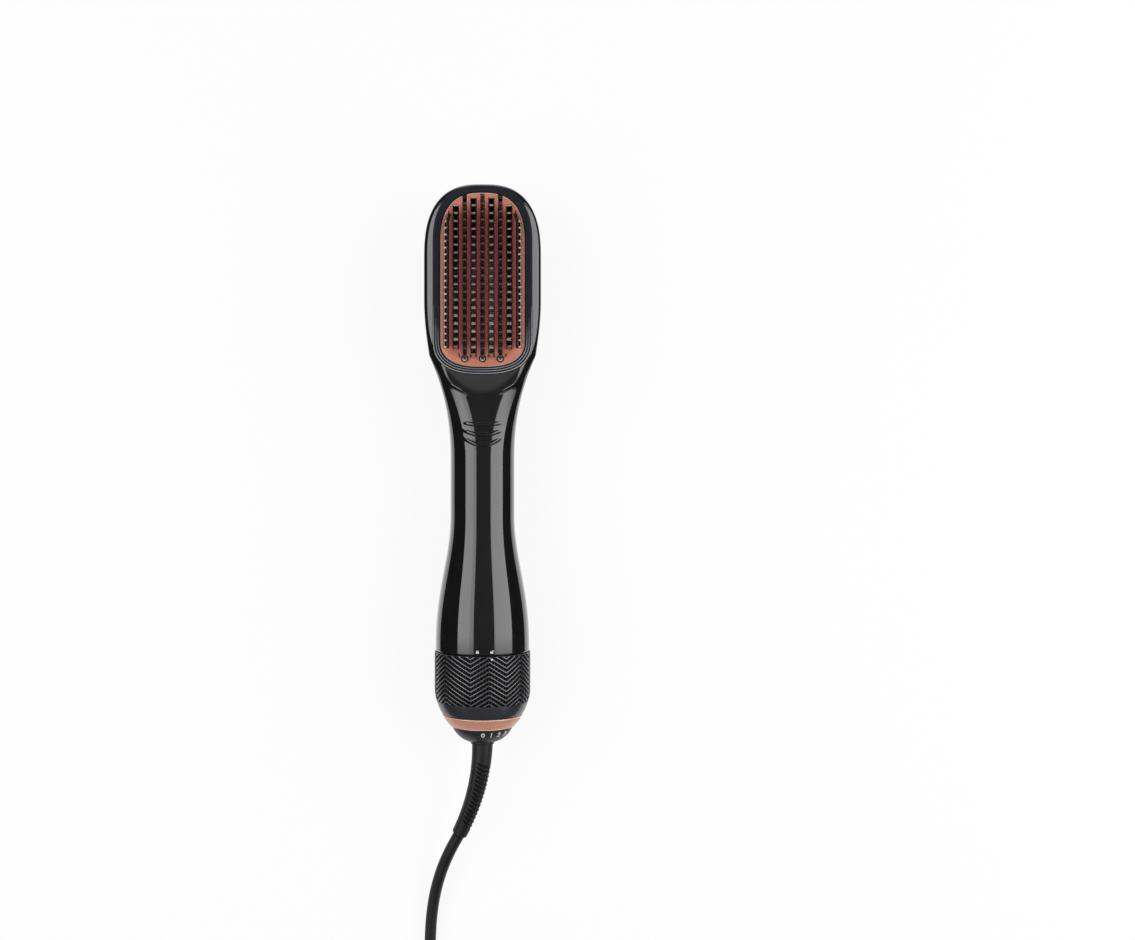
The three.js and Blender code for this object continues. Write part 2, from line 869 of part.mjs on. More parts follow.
function screwWay(x, radius, z0, z1) {
  return solid(rod(radius, z0, z1, 8).rotateX(Math.PI / 2).translate(x, y_clamp + clamp_length / 2, 0));
}

function tailFrame() {
  const y_barrel = y_filter + 7;
  const cone_radius = dial_radius - 0.4;
  const collar_radius = (outlineWidth(y_body + 1 + collar_length) - shell_wall) * inner_facet - clearance;
  const bore = barrel_radius - tail_wall;
  const barrel = solid(turned([
    [cone_radius - tail_wall, y_rear_wall],
    [cone_radius, y_rear_wall],
    [barrel_radius, y_barrel],
    [barrel_radius, y_body + 1],
    [collar_radius, y_body + 1],
    [collar_radius, y_body + 1 + collar_length],
    [bore, y_body + 1 + collar_length],
    [bore, y_barrel],
  ], 24));
  const wall = solid(tube(cone_radius - 0.8, stem_bore - 1, y_rear_wall, y_rear_wall_front, 24));
  const stem = solid(tube(stem_radius, stem_bore - 1, y_tail + dial_lip + clearance, y_rear_wall + 1, 16));
  const shelf = shelfBlock(shelf_half_width, y_rear_wall + 1, y_rear_wall + 1 + shelf_length + 3,
    -shelf_drop - shelf_thickness, -shelf_drop);
  const windows = [];
  for (let i = 0; i < tail_windows; i++) {
    const cut = block(-tail_window_width / 2, tail_window_width / 2, y_barrel + 2, y_body - 4,
      barrel_radius / 2, barrel_radius + 3);
    windows.push(solid(cut.rotateY(((i + 0.5) * 2 * Math.PI) / tail_windows)));
  }
  const flange_way = solid(rod(relief_flange_radius + clearance, y_rear_wall_front, y_cable, 14));
  const relief_way = solid(rod(stem_bore, y_tail, y_rear_wall_front + 1, 14));
  const screw_ways = [-1, 1].map((side) => screwWay(side * screw_spacing / 2, screw_radius + clearance,
    -shelf_drop - shelf_thickness + 1.5, 1 - shelf_drop));
  return joined([barrel.subtract(joined(windows)), wall, stem, shelf])
    .subtract(flange_way).subtract(relief_way)
    .subtract(joined(screw_ways));
}

// The dome of the dial and its hollow hub.
function selectorDial() {
  const profile = [];
  const steps = 5;
  const lip_bore = relief_collar_radius + running_gap;
  profile.push([lip_bore, y_tail]);
  for (let i = 0; i <= steps; i++) {
    const t = 1 - i / steps;
    const share = (1 - t ** dome_power) ** (1 / dome_power);
    profile.push([dial_end_radius + (dial_radius - dial_end_radius) * share, y_trim - dial_length * t]);
  }
  profile.push([dial_radius, y_switch]);
  profile.push([hub_bore, y_switch]);
  profile.push([hub_bore, y_tail + dial_lip]);
  profile.push([lip_bore, y_tail + dial_lip]);
  return turned(profile, 24);
}

function detentSpring() {
  const low = y_switch + clearance;
  const high = y_rear_wall - clearance;
  const shape = new THREE.Shape([
    new THREE.Vector2(-leaf_reach, high),
    new THREE.Vector2(-leaf_reach, high - leaf_thickness),
    new THREE.Vector2(0, low),
    new THREE.Vector2(leaf_reach, high - leaf_thickness),
    new THREE.Vector2(leaf_reach, high),
    new THREE.Vector2(0, low + leaf_thickness),
  ]);
  const z0 = board_radius + clearance;
  return slab(shape, z0, z0 + leaf_width);
}

add(on_axis, "tail_frame", tailFrame(), grey_plastic());
add(on_axis, "selector_dial", selectorDial(), satin_black());
add(on_axis, "wiper_ring",
  tube(wiper_radius, stem_radius + 1, y_wiper, y_wiper + wiper_thickness, 16), brass());
add(on_axis, "switch_board",
  tube(board_radius, stem_radius + running_gap, y_board, y_board + board_thickness, 16), board_green());
add(on_axis, "detent_spring", detentSpring(), steel());

// Cord clamp and leads

const y_cable_end = y_cable + cable_length;

function cordClamp() {
  const z0 = -shelf_drop + clearance;
  const bar = solid(block(-clamp_half_width, clamp_half_width, y_clamp, y_clamp + clamp_length,
    z0, clamp_height));
  const way = cable_radius + clearance;
  const cable_way = solid(rod(way, y_clamp - 1, y_clamp + clamp_length + 1, 16));
  const below = solid(block(-way, way, y_clamp - 1, y_clamp + clamp_length + 1, z0 - 1, 0));
  const holes = [-1, 1].map((side) => solid(rod(screw_radius + clearance, -10, 10, 8).rotateX(Math.PI / 2)
    .translate(side * screw_spacing / 2, y_clamp + clamp_length / 2, 0)));
  return bar.subtract(cable_way).subtract(below).subtract(joined(holes));
}

function clampScrew() {
  const foot = -(shelf_drop + shelf_thickness - 1.5) + clearance;
  const seat = clamp_height + clearance;
  return turned([
    [0, foot], [screw_radius, foot + 1], [screw_radius, seat], [screw_head_radius, seat],
    [screw_head_radius, seat + screw_head_height - 0.5], [screw_head_radius - 0.6, seat + screw_head_height],
    [0, seat + screw_head_height],
  ], 8).rotateX(Math.PI / 2);
}

add(on_axis, "cord_clamp", cordClamp(), grey_plastic());
for (const [name, side] of [["clamp_screw_left", -1], ["clamp_screw_right", 1]]) {
  const screw = add(on_axis, name, clampScrew(), steel());
  screw.position.set(side * screw_spacing / 2, y_clamp + clamp_length / 2, 0);
}
add(on_axis, "inner_cable", rod(cable_radius, y_cable, y_cable_end, 12), soft_black());

// A lead from the cable to the heater, along the gap between duct and shell.
function heaterLead(side) {
  const at = (radius, y) => new THREE.Vector3(
    side * radius * Math.sin(radians(lead_angle)), y, -radius * Math.cos(radians(lead_angle)));
  const outside_duct = duct_radius + running_gap + lead_radius;
  const curve = new THREE.CatmullRomCurve3([
    new THREE.Vector3(side * 1.6, y_cable_end + clearance, 0),
    new THREE.Vector3(side * 1.8, y_cable_end + 2.2, -0.6),
    at(outside_duct * 0.6, (y_cable_end + y_body) / 2 - 1),
    at(outside_duct, y_body - 3),
    at(outside_duct, y_duct + 2),
    at(outside_duct, (y_duct + y_duct_end) / 2),
    at(outside_duct, y_duct_end),
    at(can_radius + 4.4, y_bell_end),
    at(rectifier_radius + 1.6, y_heater - 4),
    at(mica_half_width + 1.4, y_heater - 0.6),
  ], false, "centripetal");
  return cordAlong(curve, lead_radius, 4, 18);
}

add(on_axis, "live_lead", heaterLead(-1), brown_wire());
add(on_axis, "neutral_lead", heaterLead(1), blue_wire());

// Fan and motor

const duct_sides = 18;
const blade_chord = 9.2;

function fanDuct() {
  const bore = duct_radius - duct_wall;
  const cup_bore = can_radius + clearance;
  const duct = solid(tube(duct_radius, bore, y_duct, y_duct_end, duct_sides));
  const cup = solid(turned([
    [bush_radius + 1, y_cup], [cup_bore + cup_wall, y_cup], [cup_bore + cup_wall, y_duct_end],
    [cup_bore, y_duct_end], [cup_bore, y_cup + cup_wall], [bush_radius + 1, y_cup + cup_wall],
  ], duct_sides));
  const vanes = [];
  for (let i = 0; i < vane_count; i++) {
    const vane = block(-vane_thickness / 2, vane_thickness / 2, y_cup + 3, y_duct_end - 1,
      cup_bore + 0.6, bore + 0.6);
    vanes.push(solid(vane.rotateY(((i + 0.5) * 2 * Math.PI) / vane_count)));
  }
  return joined([duct, cup, ...vanes]);
}

// One twisted blade, from its root in the hub to its tip just inside the duct.
function fanBlade(turn) {
  const free = (duct_radius - duct_wall) * Math.cos(Math.PI / duct_sides) - running_gap;
  const chord = blade_chord / 2;
  const tip = Math.sqrt(free ** 2 - chord ** 2);
  const rings = [];
  for (let i = 0; i <= 2; i++) {
    const radius = hub_radius - 0.8 + ((tip - hub_radius + 0.8) * i) / 2;
    const pitch = radians(52 - 12 * i);
    const half = blade_thickness / 2;
    rings.push([[-chord, -half], [chord, -half], [chord, half], [-chord, half]].map(([along, across]) =>
      new THREE.Vector3(
        along * Math.cos(pitch) - across * Math.sin(pitch),
        along * Math.sin(pitch) + across * Math.cos(pitch),
        radius,
      )));
  }
  return solid(loft(rings).rotateY(turn).translate(0, fan_length / 2, 0));
}

function impeller() {
  const hub = solid(turned([
    [0, 0], [hub_radius * 0.5, 0.3], [hub_radius * 0.85, 1.4], [hub_radius, 3.2], [hub_radius, fan_length],
    [shaft_radius + clearance, fan_length], [shaft_radius + clearance, 2.5], [0, 2.5],
  ], 14));
  const blades = [];
  for (let i = 0; i < blade_count; i++) blades.push(fanBlade((i * 2 * Math.PI) / blade_count));
  return hub.add(joined(blades));
}

const rotor = new THREE.Group();
rotor.position.y = y_fan;
on_axis.add(rotor);

const shaft_start = 2.5 + clearance;
const shaft_end = y_bell_end + 0.2 - y_fan;
const rotor_armature = y_can + can_wall + 3.2 - y_fan;
const rotor_commutator = rotor_armature + armature_length + 0.6;
const shaft_bore = shaft_radius + clearance;

add(rotor, "impeller", impeller(), grey_plastic());
add(rotor, "motor_shaft", rod(shaft_radius, shaft_start, shaft_end, 10), steel());
add(rotor, "motor_armature",
  tube(armature_radius, shaft_bore, rotor_armature, rotor_armature + armature_length, 14), dark_iron());
add(rotor, "commutator",
  tube(commutator_radius, shaft_bore, rotor_commutator, rotor_commutator + commutator_length, 10), brass());

function motorCan() {
  const bore = can_radius - can_wall;
  const bush_way = bush_radius + clearance;
  return turned([
    [bush_way, y_can], [can_radius, y_can], [can_radius, y_can_end], [bore, y_can_end],
    [bore, y_can + can_wall], [bush_way, y_can + can_wall],
  ], 16);
}

function magnet(start) {
  const outer = can_radius - can_wall - clearance;
  const shape = new THREE.Shape();
  shape.absarc(0, 0, outer, radians(start), radians(start + magnet_span), false);
  shape.absarc(0, 0, outer - magnet_wall, radians(start + magnet_span), radians(start), true);
  const y0 = y_can + can_wall + 2.4;
  const depth = armature_length + 1.4;
  const body = new THREE.ExtrudeGeometry(shape, { depth, bevelEnabled: false, curveSegments: 5 });
  return body.rotateX(-Math.PI / 2).translate(0, y0, 0);
}

function endBell() {
  return tube(can_radius, bush_radius + clearance, y_bell, y_bell_end, 16);
}

const y_commutator = y_fan + rotor_commutator;
add(on_axis, "fan_duct", fanDuct(), grey_plastic());
add(on_axis, "motor_can", motorCan(), steel());
add(on_axis, "magnet_left", magnet(180 - magnet_span / 2), dark_iron());
add(on_axis, "magnet_right", magnet(-magnet_span / 2), dark_iron());
add(on_axis, "rear_bush", tube(bush_radius, shaft_radius + running_gap, y_can, y_can + 2.2, 8), brass());
add(on_axis, "front_bush", tube(bush_radius, shaft_radius + running_gap, y_bell, y_bell_end, 8), brass());
add(on_axis, "end_bell", endBell(), grey_plastic());
for (const [name, side] of [["brush_left", -1], ["brush_right", 1]]) {
  const near = commutator_radius + clearance;
  const half = brush_width / 2;
  const brush = block(near, near + brush_length, -half, half, -half, half);
  if (side < 0) brush.rotateY(Math.PI);
  add(on_axis, name, brush, dark_iron()).position.y = y_commutator + commutator_length / 2;
}
add(on_axis, "rectifier_board",
  tube(rectifier_radius, bush_radius + 1, y_rectifier, y_rectifier + rectifier_thickness, 16),
  board_green());

// Heater

function micaFrame() {
  const reach = heater_radius - heater_wall - clearance - 0.1;
  const half = mica_thickness / 2;
  const y0 = y_heater + 0.5;
  const y1 = y_heater_end - 0.5;
  const bodies = [];
  for (const turn of [0, Math.PI / 2]) {
    for (const [width, from, to] of [
      [mica_half_width, y0, y1],
      [reach, y0, y0 + mica_tab_length],
      [reach, y1 - mica_tab_length, y1],
    ]) {
      bodies.push(solid(block(-width, width, from, to, -half, half).rotateY(turn)));
    }
  }
  return joined(bodies);
}

class Helix extends THREE.Curve {
  getPoint(t, target = new THREE.Vector3()) {
    const radius = (mica_half_width + running_gap) / Math.cos(Math.PI / 8) + coil_wire_radius;
    const margin = mica_tab_length + 3;
    const turn = 2 * Math.PI * coil_turns * t;
    const y = y_heater + margin + (heater_length - 2 * margin) * t;
    return target.set(radius * Math.cos(turn), y, radius * Math.sin(turn));
  }
}

const quadrant = mica_thickness / 2 + clearance;
add(on_axis, "heater_tube",
  tube(heater_radius, heater_radius - heater_wall, y_heater, y_heater_end, 18), mica());
add(on_axis, "mica_frame", micaFrame(), mica());
add(on_axis, "heating_coil", cordAlong(new Helix(), coil_wire_radius, 4, coil_turns * 8), steel());
add(on_axis, "thermostat", block(quadrant, quadrant + thermostat_width,
  y_heater_end - mica_tab_length - 12 - thermostat_length, y_heater_end - mica_tab_length - 12,
  quadrant, quadrant + thermostat_height), brass());
const fuse_side = quadrant + fuse_radius;
const y_fuse = y_heater_end - 30;
add(on_axis, "thermal_fuse",
  rod(fuse_radius, y_fuse, y_fuse + fuse_length, 10).translate(-fuse_side, 0, fuse_side), steel());

// Strain relief, cord and plug

// The relief leaves the dial straight, then sways to the left and sags.
class ReliefLine extends THREE.Curve {
  getPoint(t, target = new THREE.Vector3()) {
    return target.set(-relief_sway * t * t, y_tail - relief_length * t, -relief_droop * t * t);
  }
}

const relief_line = new ReliefLine();
const relief_exit = relief_line.getPoint(1).setZ(z_axis - relief_droop);
const relief_heading = new THREE.Vector3(-2 * relief_sway, -relief_length, -2 * relief_droop).normalize();

function strainRelief() {
  const steps = 7;
  const sides = 12;
  const rings = [];
  for (let i = 0; i <= steps; i++) {
    const t = 0.02 + (0.98 * i) / steps;
    const centre = relief_line.getPoint(t);
    const heading = new THREE.Vector3(-2 * relief_sway * t, -relief_length, -2 * relief_droop * t);
    heading.normalize();
    const side = new THREE.Vector3().crossVectors(heading, new THREE.Vector3(0, 0, 1)).normalize();
    const up = new THREE.Vector3().crossVectors(side, heading);
    const radius = relief_radius + (relief_end_radius - relief_radius) * t;
    const ring = [];
    for (let j = 0; j < sides; j++) {
      const turn = (j * 2 * Math.PI) / sides;
      ring.push(centre.clone().addScaledVector(side, radius * Math.cos(turn))
        .addScaledVector(up, radius * Math.sin(turn)));
    }
    rings.push(ring);
  }
  const root = solid(turned([
    [0, y_tail - 2.0],
    [relief_collar_radius - 0.5, y_tail - 2.0],
    [relief_collar_radius, y_tail - 1.4],
    [relief_collar_radius, y_tail - clearance],
    [relief_root_radius, y_tail - clearance],
    [relief_root_radius, y_flange],
    [relief_flange_radius, y_flange],
    [relief_flange_radius, y_flange + flange_thickness],
    [0, y_flange + flange_thickness],
  ], 14));
  return root.add(solid(loft(rings)));
}

add(on_axis, "strain_relief", strainRelief(), soft_black());

// Route of the cord's free stretch: down from the relief to the table, then straight back.
const cord_x = -32;
const y_coil = -350;
const cord_route = [
  [-20.2, -232.8, 15.3],
  [-25.2, -246, 10.9],
  [-28.8, -260, 7.0],
  [-30.9, -274, 4.7],
  [-31.8, -288, 3.7],
  [cord_x, -302, cord_radius],
  [cord_x, -318, cord_radius],
  [cord_x, -334, cord_radius],
];
const coil_loops = 6;
const coil_outer_radius = 51.5;
const coil_gap = 0.5;
const coil_pitch = 2 * cord_radius + coil_gap;
const straight_end = 2 * cord_radius;
const coil_centre_x = cord_x + coil_outer_radius;

function cordLead() {
  const start = relief_exit.clone().addScaledVector(relief_heading, clearance);
  const end = new THREE.Vector3(cord_x, y_coil + straight_end + clearance, cord_radius);
  const points = [start, ...cord_route.map(([x, y, z]) => new THREE.Vector3(x, y, z)), end];
  return new THREE.CatmullRomCurve3(points, false, "centripetal");
}

// The coil spirals in on the table, climbs a layer in its innermost half turn and spirals out on top.
class CoilLine extends THREE.Curve {
  getPoint(t, target = new THREE.Vector3()) {
    const loop = 2 * Math.PI * coil_outer_radius;
    const run = straight_end / loop;
    const turns = t * (coil_loops + 2 * run) - run;
    if (turns < 0) return target.set(cord_x, y_coil - turns * loop, cord_radius);
    if (turns > coil_loops) {
      return target.set(cord_x, y_coil - (turns - coil_loops) * loop, cord_radius + coil_pitch);
    }
    const reverse = coil_loops / 2;
    const radius = coil_outer_radius - coil_pitch * (reverse - Math.abs(turns - reverse));
    const layer = smooth((turns - reverse) / 0.5 + 0.5);
    const turn = Math.PI + 2 * Math.PI * turns;
    return target.set(coil_centre_x + radius * Math.cos(turn), y_coil + radius * Math.sin(turn),
      cord_radius + coil_pitch * layer);
  }
}

// Least gap between parts of the coil that are more than half a loop apart.
function leastGap(curve, loops, radius) {
  const count = loops * 48;
  const points = [];
  for (let i = 0; i <= count; i++) points.push(curve.getPoint(i / count));
  let least = Infinity;
  for (let i = 0; i <= count; i++) {
    for (let j = i + 24; j <= count; j++) least = Math.min(least, points[i].distanceTo(points[j]));
  }
  return least - 2 * radius;
}

// Last stretch, from the top of the coil down and inward to the plug on the table.
const plug_rise = 6.8;
const plug_x = cord_x + 7;
const y_plug = y_coil - 48;
const tail_steps = 6;

function cordTail() {
  const start = y_coil - straight_end - clearance;
  const end = y_plug + clearance;
  const drop = cord_radius + coil_pitch - plug_rise;
  const points = [];
  for (let i = 0; i <= tail_steps; i++) {
    const share = i / tail_steps;
    const eased = smooth(share);
    points.push(new THREE.Vector3(cord_x + (plug_x - cord_x) * eased, start + (end - start) * share,
      plug_rise + drop * (1 - eased)));
  }
  return new THREE.CatmullRomCurve3(points, false, "centripetal");
}

const coil_line = new CoilLine();
console.log("least gap in the coil, mm:", leastGap(coil_line, coil_loops, cord_radius).toFixed(2));
const lead_line = cordLead();
const tail_line = cordTail();
const cord_length = lead_line.getLength() + coil_line.getLength() + tail_line.getLength();
console.log("cord length, mm:", Math.round(cord_length));
add(styler, "cord_lead", cordAlong(lead_line, cord_radius, 8, 12), soft_black());
add(styler, "cord_coil", cordAlong(coil_line, cord_radius, 6, coil_loops * 18), soft_black());
add(styler, "cord_tail", cordAlong(tail_line, cord_radius, 8, 6), soft_black());

// A flat two-pin plug lying on the table.
const plug_length = 38.0;
const plug_half_width = 13.0;
const plug_neck_radius = 5.0;
const plug_pin_radius = 2.0;
const plug_pin_length = 19.0;
const plug_pin_spacing = 18.6;

// How far along the plug each section is, and how much it has widened there.
const plug_sections = [[0, 0], [0.12, 0.05], [0.3, 0.3], [0.5, 0.75], [0.65, 0.97], [0.75, 1], [1, 1]];

function plugBody() {
  const rings = [];
  for (const [share, widen] of plug_sections) {
    const half = plug_neck_radius + (plug_half_width - plug_neck_radius) * widen;
    const height = plug_neck_radius + (plug_rise - plug_neck_radius) * widen;
    const power = 2 / (2 + 2 * widen);
    const ring = [];
    for (let j = 0; j < 16; j++) {
      const turn = (j * 2 * Math.PI) / 16;
      const c = Math.cos(turn);
      const s = Math.sin(turn);
      ring.push(new THREE.Vector3(half * Math.sign(c) * Math.abs(c) ** power, -plug_length * share,
        height * Math.sign(s) * Math.abs(s) ** power));
    }
    rings.push(ring);
  }
  return loft(rings);
}

const plug = new THREE.Group();
plug.position.set(plug_x, y_plug, plug_rise);
styler.add(plug);
add(plug, "plug_body", plugBody(), soft_black());
for (const [name, side] of [["plug_pin_left", -1], ["plug_pin_right", 1]]) {
  const y0 = -plug_length - clearance;
  const pin = turned([
    [0, y0 - plug_pin_length], [plug_pin_radius * 0.6, y0 - plug_pin_length],
    [plug_pin_radius, y0 - plug_pin_length + 1.4], [plug_pin_radius, y0], [0, y0],
  ], 8);
  add(plug, name, pin, brass()).position.x = side * plug_pin_spacing / 2;
}

export default styler;
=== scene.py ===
"""The looks of a paddle-brush hair styler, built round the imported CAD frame.

Sizes are in millimetres in the lists and functions here, and every mesh is written in metres.
Only the studio at the end is laid out in metres.
"""

import math

import bmesh
import bpy
import numpy as np
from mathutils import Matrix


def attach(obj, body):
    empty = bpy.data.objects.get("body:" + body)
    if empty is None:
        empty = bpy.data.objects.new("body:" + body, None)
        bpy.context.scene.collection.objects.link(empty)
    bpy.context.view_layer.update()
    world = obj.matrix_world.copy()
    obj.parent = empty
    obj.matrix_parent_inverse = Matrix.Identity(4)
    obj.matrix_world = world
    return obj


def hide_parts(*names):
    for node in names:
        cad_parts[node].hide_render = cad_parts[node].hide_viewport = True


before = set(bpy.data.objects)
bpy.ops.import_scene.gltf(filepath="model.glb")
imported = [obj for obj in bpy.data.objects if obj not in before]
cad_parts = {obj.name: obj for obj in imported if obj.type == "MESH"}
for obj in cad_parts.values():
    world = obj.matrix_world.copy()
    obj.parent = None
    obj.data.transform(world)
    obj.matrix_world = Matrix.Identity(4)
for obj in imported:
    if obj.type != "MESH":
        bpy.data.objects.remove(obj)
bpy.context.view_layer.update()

MM = 0.001

# Lengths along the handle, from the cord end to the tip of the head.
DIAL_LENGTH = 9.0
TRIM_LENGTH = 7.1
FILTER_LENGTH = 37.2
BELL_LENGTH = 79.0
WAIST_LENGTH = 33.0
NECK_LENGTH = 59.9
HEAD_LENGTH = 99.4

Y_TAIL = -(DIAL_LENGTH + TRIM_LENGTH + FILTER_LENGTH + BELL_LENGTH + WAIST_LENGTH + NECK_LENGTH
           + HEAD_LENGTH) / 2
Y_TRIM = Y_TAIL + DIAL_LENGTH
Y_FILTER = Y_TRIM + TRIM_LENGTH
Y_BODY = Y_FILTER + FILTER_LENGTH
Y_WAIST = Y_BODY + BELL_LENGTH
Y_NECK = Y_WAIST + WAIST_LENGTH
Y_KINK = Y_NECK + NECK_LENGTH
Y_TIP = Y_KINK + HEAD_LENGTH

# Outline of the body.
REAR_RADIUS = 27.7
WAIST_RADIUS = 18.9
KINK_HALF = 31.0
HEAD_HALF = 33.9
HEAD_SWELL = 32.5
HEAD_ROUND = 43.0
HEAD_EDGE_RISE = 13.3
HEAD_FACE_RISE = 20.3
LIFT_LENGTH = 80.0
FACE_ROUND = 14.0
BACK_ROUND = 72.0
REST_DEPTH = 0.7
REST_SOFTNESS = 0.12
FACE_POWER = 3.2
BACK_POWER = 2.4
TIP_POWER = 2.6
EDGE_POWER = 2.2
BELL_POWER = 1.2
NECK_POWER = 2.3
SHELL_WALL = 2.0
PARTING = 0.15
REAR_EDGE_SHARE = 0.988

# Head.
PAD_HALF = 28.4
PAD_POWER = 2.6
PAD_LOW_ROUND = 20.0
PAD_TIP_ROUND = 34.0
PAD_TIP_MARGIN = 2.3
PAD_LENGTH = 108.1
BORDER = 4.2
LIP = 1.6
BEZEL_PROUD = 0.8
BEZEL_DEPTH = 5.4
PLATE_RECESS = 1.1
PLATE_THICKNESS = 1.6
COMB_RECESS = 0.5
COLUMN_PITCH = 5.1
ROW_PITCH = 4.53
SIDE_COLUMN = 20.3

Z_AXIS = 28.2
Z_EDGE = Z_AXIS + HEAD_EDGE_RISE
Z_FACE = Z_AXIS + HEAD_FACE_RISE
Y_PAD_HIGH = Y_TIP - PAD_TIP_MARGIN
Y_PAD_LOW = Y_PAD_HIGH - PAD_LENGTH
Z_BEZEL = Z_FACE + BEZEL_PROUD
Z_BEZEL_LOW = Z_BEZEL - BEZEL_DEPTH
Z_PLATE = Z_BEZEL - PLATE_RECESS
Z_PLATE_LOW = Z_PLATE - PLATE_THICKNESS
Z_COMB = Z_PLATE - COMB_RECESS


# Numbers and points


def smooth(t):
    """0 to 1 with a soft start and end."""
    s = np.clip(t, 0, 1)
    return s * s * (3 - 2 * s)


def circle(count):
    """Angles of count points round a circle."""
    return np.linspace(0, 2 * np.pi, count, endpoint=False)


def about_axis(radius, y, turn):
    """Points at a radius from the handle axis, turned from its upper side towards the right."""
    across, along, up = np.broadcast_arrays(radius * np.sin(turn), y, Z_AXIS + radius * np.cos(turn))
    return np.stack([across, along, up], axis=-1)


# Shapes, each a pair of points and faces


def grid_faces(rows, columns, wrap=False, start=0):
    """Quads of a grid of points stored row by row."""
    across = columns if wrap else columns - 1
    r, c = np.meshgrid(np.arange(rows - 1), np.arange(across), indexing="ij")
    a = r * columns + c
    b = r * columns + (c + 1) % columns
    quads = np.stack([a, b, b + columns, a + columns], axis=-1).reshape(-1, 4) + start
    return quads.tolist()


def looped_rings(rings):
    """Rings joined in order and back to the first, whose second copy the piece's weld takes up."""
    rings = np.concatenate([rings, rings[:1]])
    return rings.reshape(-1, 3), grid_faces(*rings.shape[:2], wrap=True)


def closed_rings(rings):
    """Rings joined in order, with both ends closed by one face."""
    count, sides = rings.shape[:2]
    faces = grid_faces(count, sides, wrap=True)
    faces.append(list(range(sides))[::-1])
    faces.append([(count - 1) * sides + i for i in range(sides)])
    return rings.reshape(-1, 3), faces


def joined(shapes):
    """Several shapes as one."""
    points, faces = [], []
    for part, part_faces in shapes:
        start = len(points)
        points += list(part)
        faces += [[start + i for i in face] for face in part_faces]
    return points, faces


def both_sides(shape):
    """A shape of the right-hand side with its mirror image on the left."""
    points, faces = shape
    return joined([(np.asarray(points) * (-1, 1, 1), faces), shape])


def swept(centres, radii, sides):
    """Rings about a line of centres; radii may be one number a ring or a whole grid."""
    centres = np.asarray(centres, float)
    heading = np.gradient(centres, axis=0)
    heading /= np.linalg.norm(heading, axis=1)[:, None]
    side = np.cross(heading, (0.0, 0.0, 1.0))
    side /= np.linalg.norm(side, axis=1)[:, None]
    rise = np.cross(side, heading)
    radii = np.asarray(radii, float)
    if radii.ndim == 1:
        radii = np.repeat(radii[:, None], sides, axis=1)
    turn = circle(sides)
    return (centres[:, None] + side[:, None] * (radii * np.cos(turn))[..., None]
            + rise[:, None] * (radii * np.sin(turn))[..., None])


def tube(centres, radii, sides):
    """A round bar with closed ends about a line of centres."""
    return closed_rings(swept(centres, radii, sides))


def upright(x, y, radius, z, sides):
    """Rings about an upright line; x, y, radius and z may be columns with a row for each ring."""
    turn = circle(sides)
    return np.stack(np.broadcast_arrays(x + radius * np.cos(turn), y + radius * np.sin(turn), z), axis=-1)


def lathe(profile, segments):
    """A body of revolution about the handle axis from a closed list of (radius, y)."""
    profile = np.asarray(profile, float)
    return looped_rings(about_axis(profile[:, :1], profile[:, 1:], circle(segments)))


def prism(outline, low, high):
    """A closed prism over an outline of (x, y)."""
    n = len(outline)
    points = np.vstack([np.column_stack([outline, np.full(n, z)]) for z in (low, high)])
    sides = [[i, (i + 1) % n, n + (i + 1) % n, n + i] for i in range(n)]
    return points, [list(range(n))[::-1], list(range(n, 2 * n)), *sides]


def boxes(parts, chamfer):
    """Boxes with chamfered edges: each part is x0, x1, y0, y1, z0, z1."""
    shapes = []
    for x0, x1, y0, y1, z0, z1 in parts:
        c = min(chamfer, 0.45 * min(x1 - x0, y1 - y0, z1 - z0))
        rings = [[(x0 + c, y0 + a, z), (x1 - c, y0 + a, z), (x1 - a, y0 + c, z), (x1 - a, y1 - c, z),
                  (x1 - c, y1 - a, z), (x0 + c, y1 - a, z), (x0 + a, y1 - c, z), (x0 + a, y0 + c, z)]
                 for z, a in ((z0, c), (z0 + c, 0), (z1 - c, 0), (z1, c))]
        shapes.append(closed_rings(np.array(rings)))
    return joined(shapes)


# Meshes and pieces


def shade(mesh, angle):
    mesh.shade_smooth()
    mesh.set_sharp_from_angle(angle=math.radians(angle))


def mesh_of(name, shape, angle=32, weld=None):
    """A mesh in metres from a shape in millimetres, with its faces turned out."""
    points, faces = shape
    mesh = bpy.data.meshes.new(name)
    mesh.from_pydata(np.asarray(points, float).reshape(-1, 3) * MM, [], [tuple(face) for face in faces])
    work = bmesh.new()
    work.from_mesh(mesh)
    if weld:
        bmesh.ops.remove_doubles(work, verts=work.verts, dist=weld * MM)
        bmesh.ops.dissolve_degenerate(work, edges=work.edges, dist=weld * MM * 0.1)
    bmesh.ops.recalc_face_normals(work, faces=work.faces)
    work.to_mesh(mesh)
    work.free()
    shade(mesh, angle)
    return mesh


def new_object(name, data):
    made = bpy.data.objects.new(name, data)
    bpy.context.scene.collection.objects.link(made)
    return made


def link(name, mesh, material, body, replaced=()):
    """A piece made of a mesh or curve, riding on a CAD body."""
    piece = new_object(name, mesh)
    mesh.materials.clear()
    mesh.materials.append(material)
    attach(piece, body)
    if replaced:
        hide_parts(*replaced)
    return piece


def add_piece(name, shape, material, slot, *replaced, body="housing", angle=40, weld=None):
    """A piece made of a shape, which stands for the CAD nodes that it replaces."""
    return link(name, mesh_of(name, shape, angle, weld), material, body, replaced)


def evaluated_mesh(piece):
    bpy.context.view_layer.update()
    return bpy.data.meshes.new_from_object(piece.evaluated_get(bpy.context.evaluated_depsgraph_get()))


def applied(piece, kind, **settings):
    """Adds a modifier and bakes it into the piece's mesh."""
    modifier = piece.modifiers.new(kind.lower(), kind)
    for key, value in settings.items():
        setattr(modifier, key, value)
    mesh = evaluated_mesh(piece)
    piece.modifiers.clear()
    piece.data = mesh


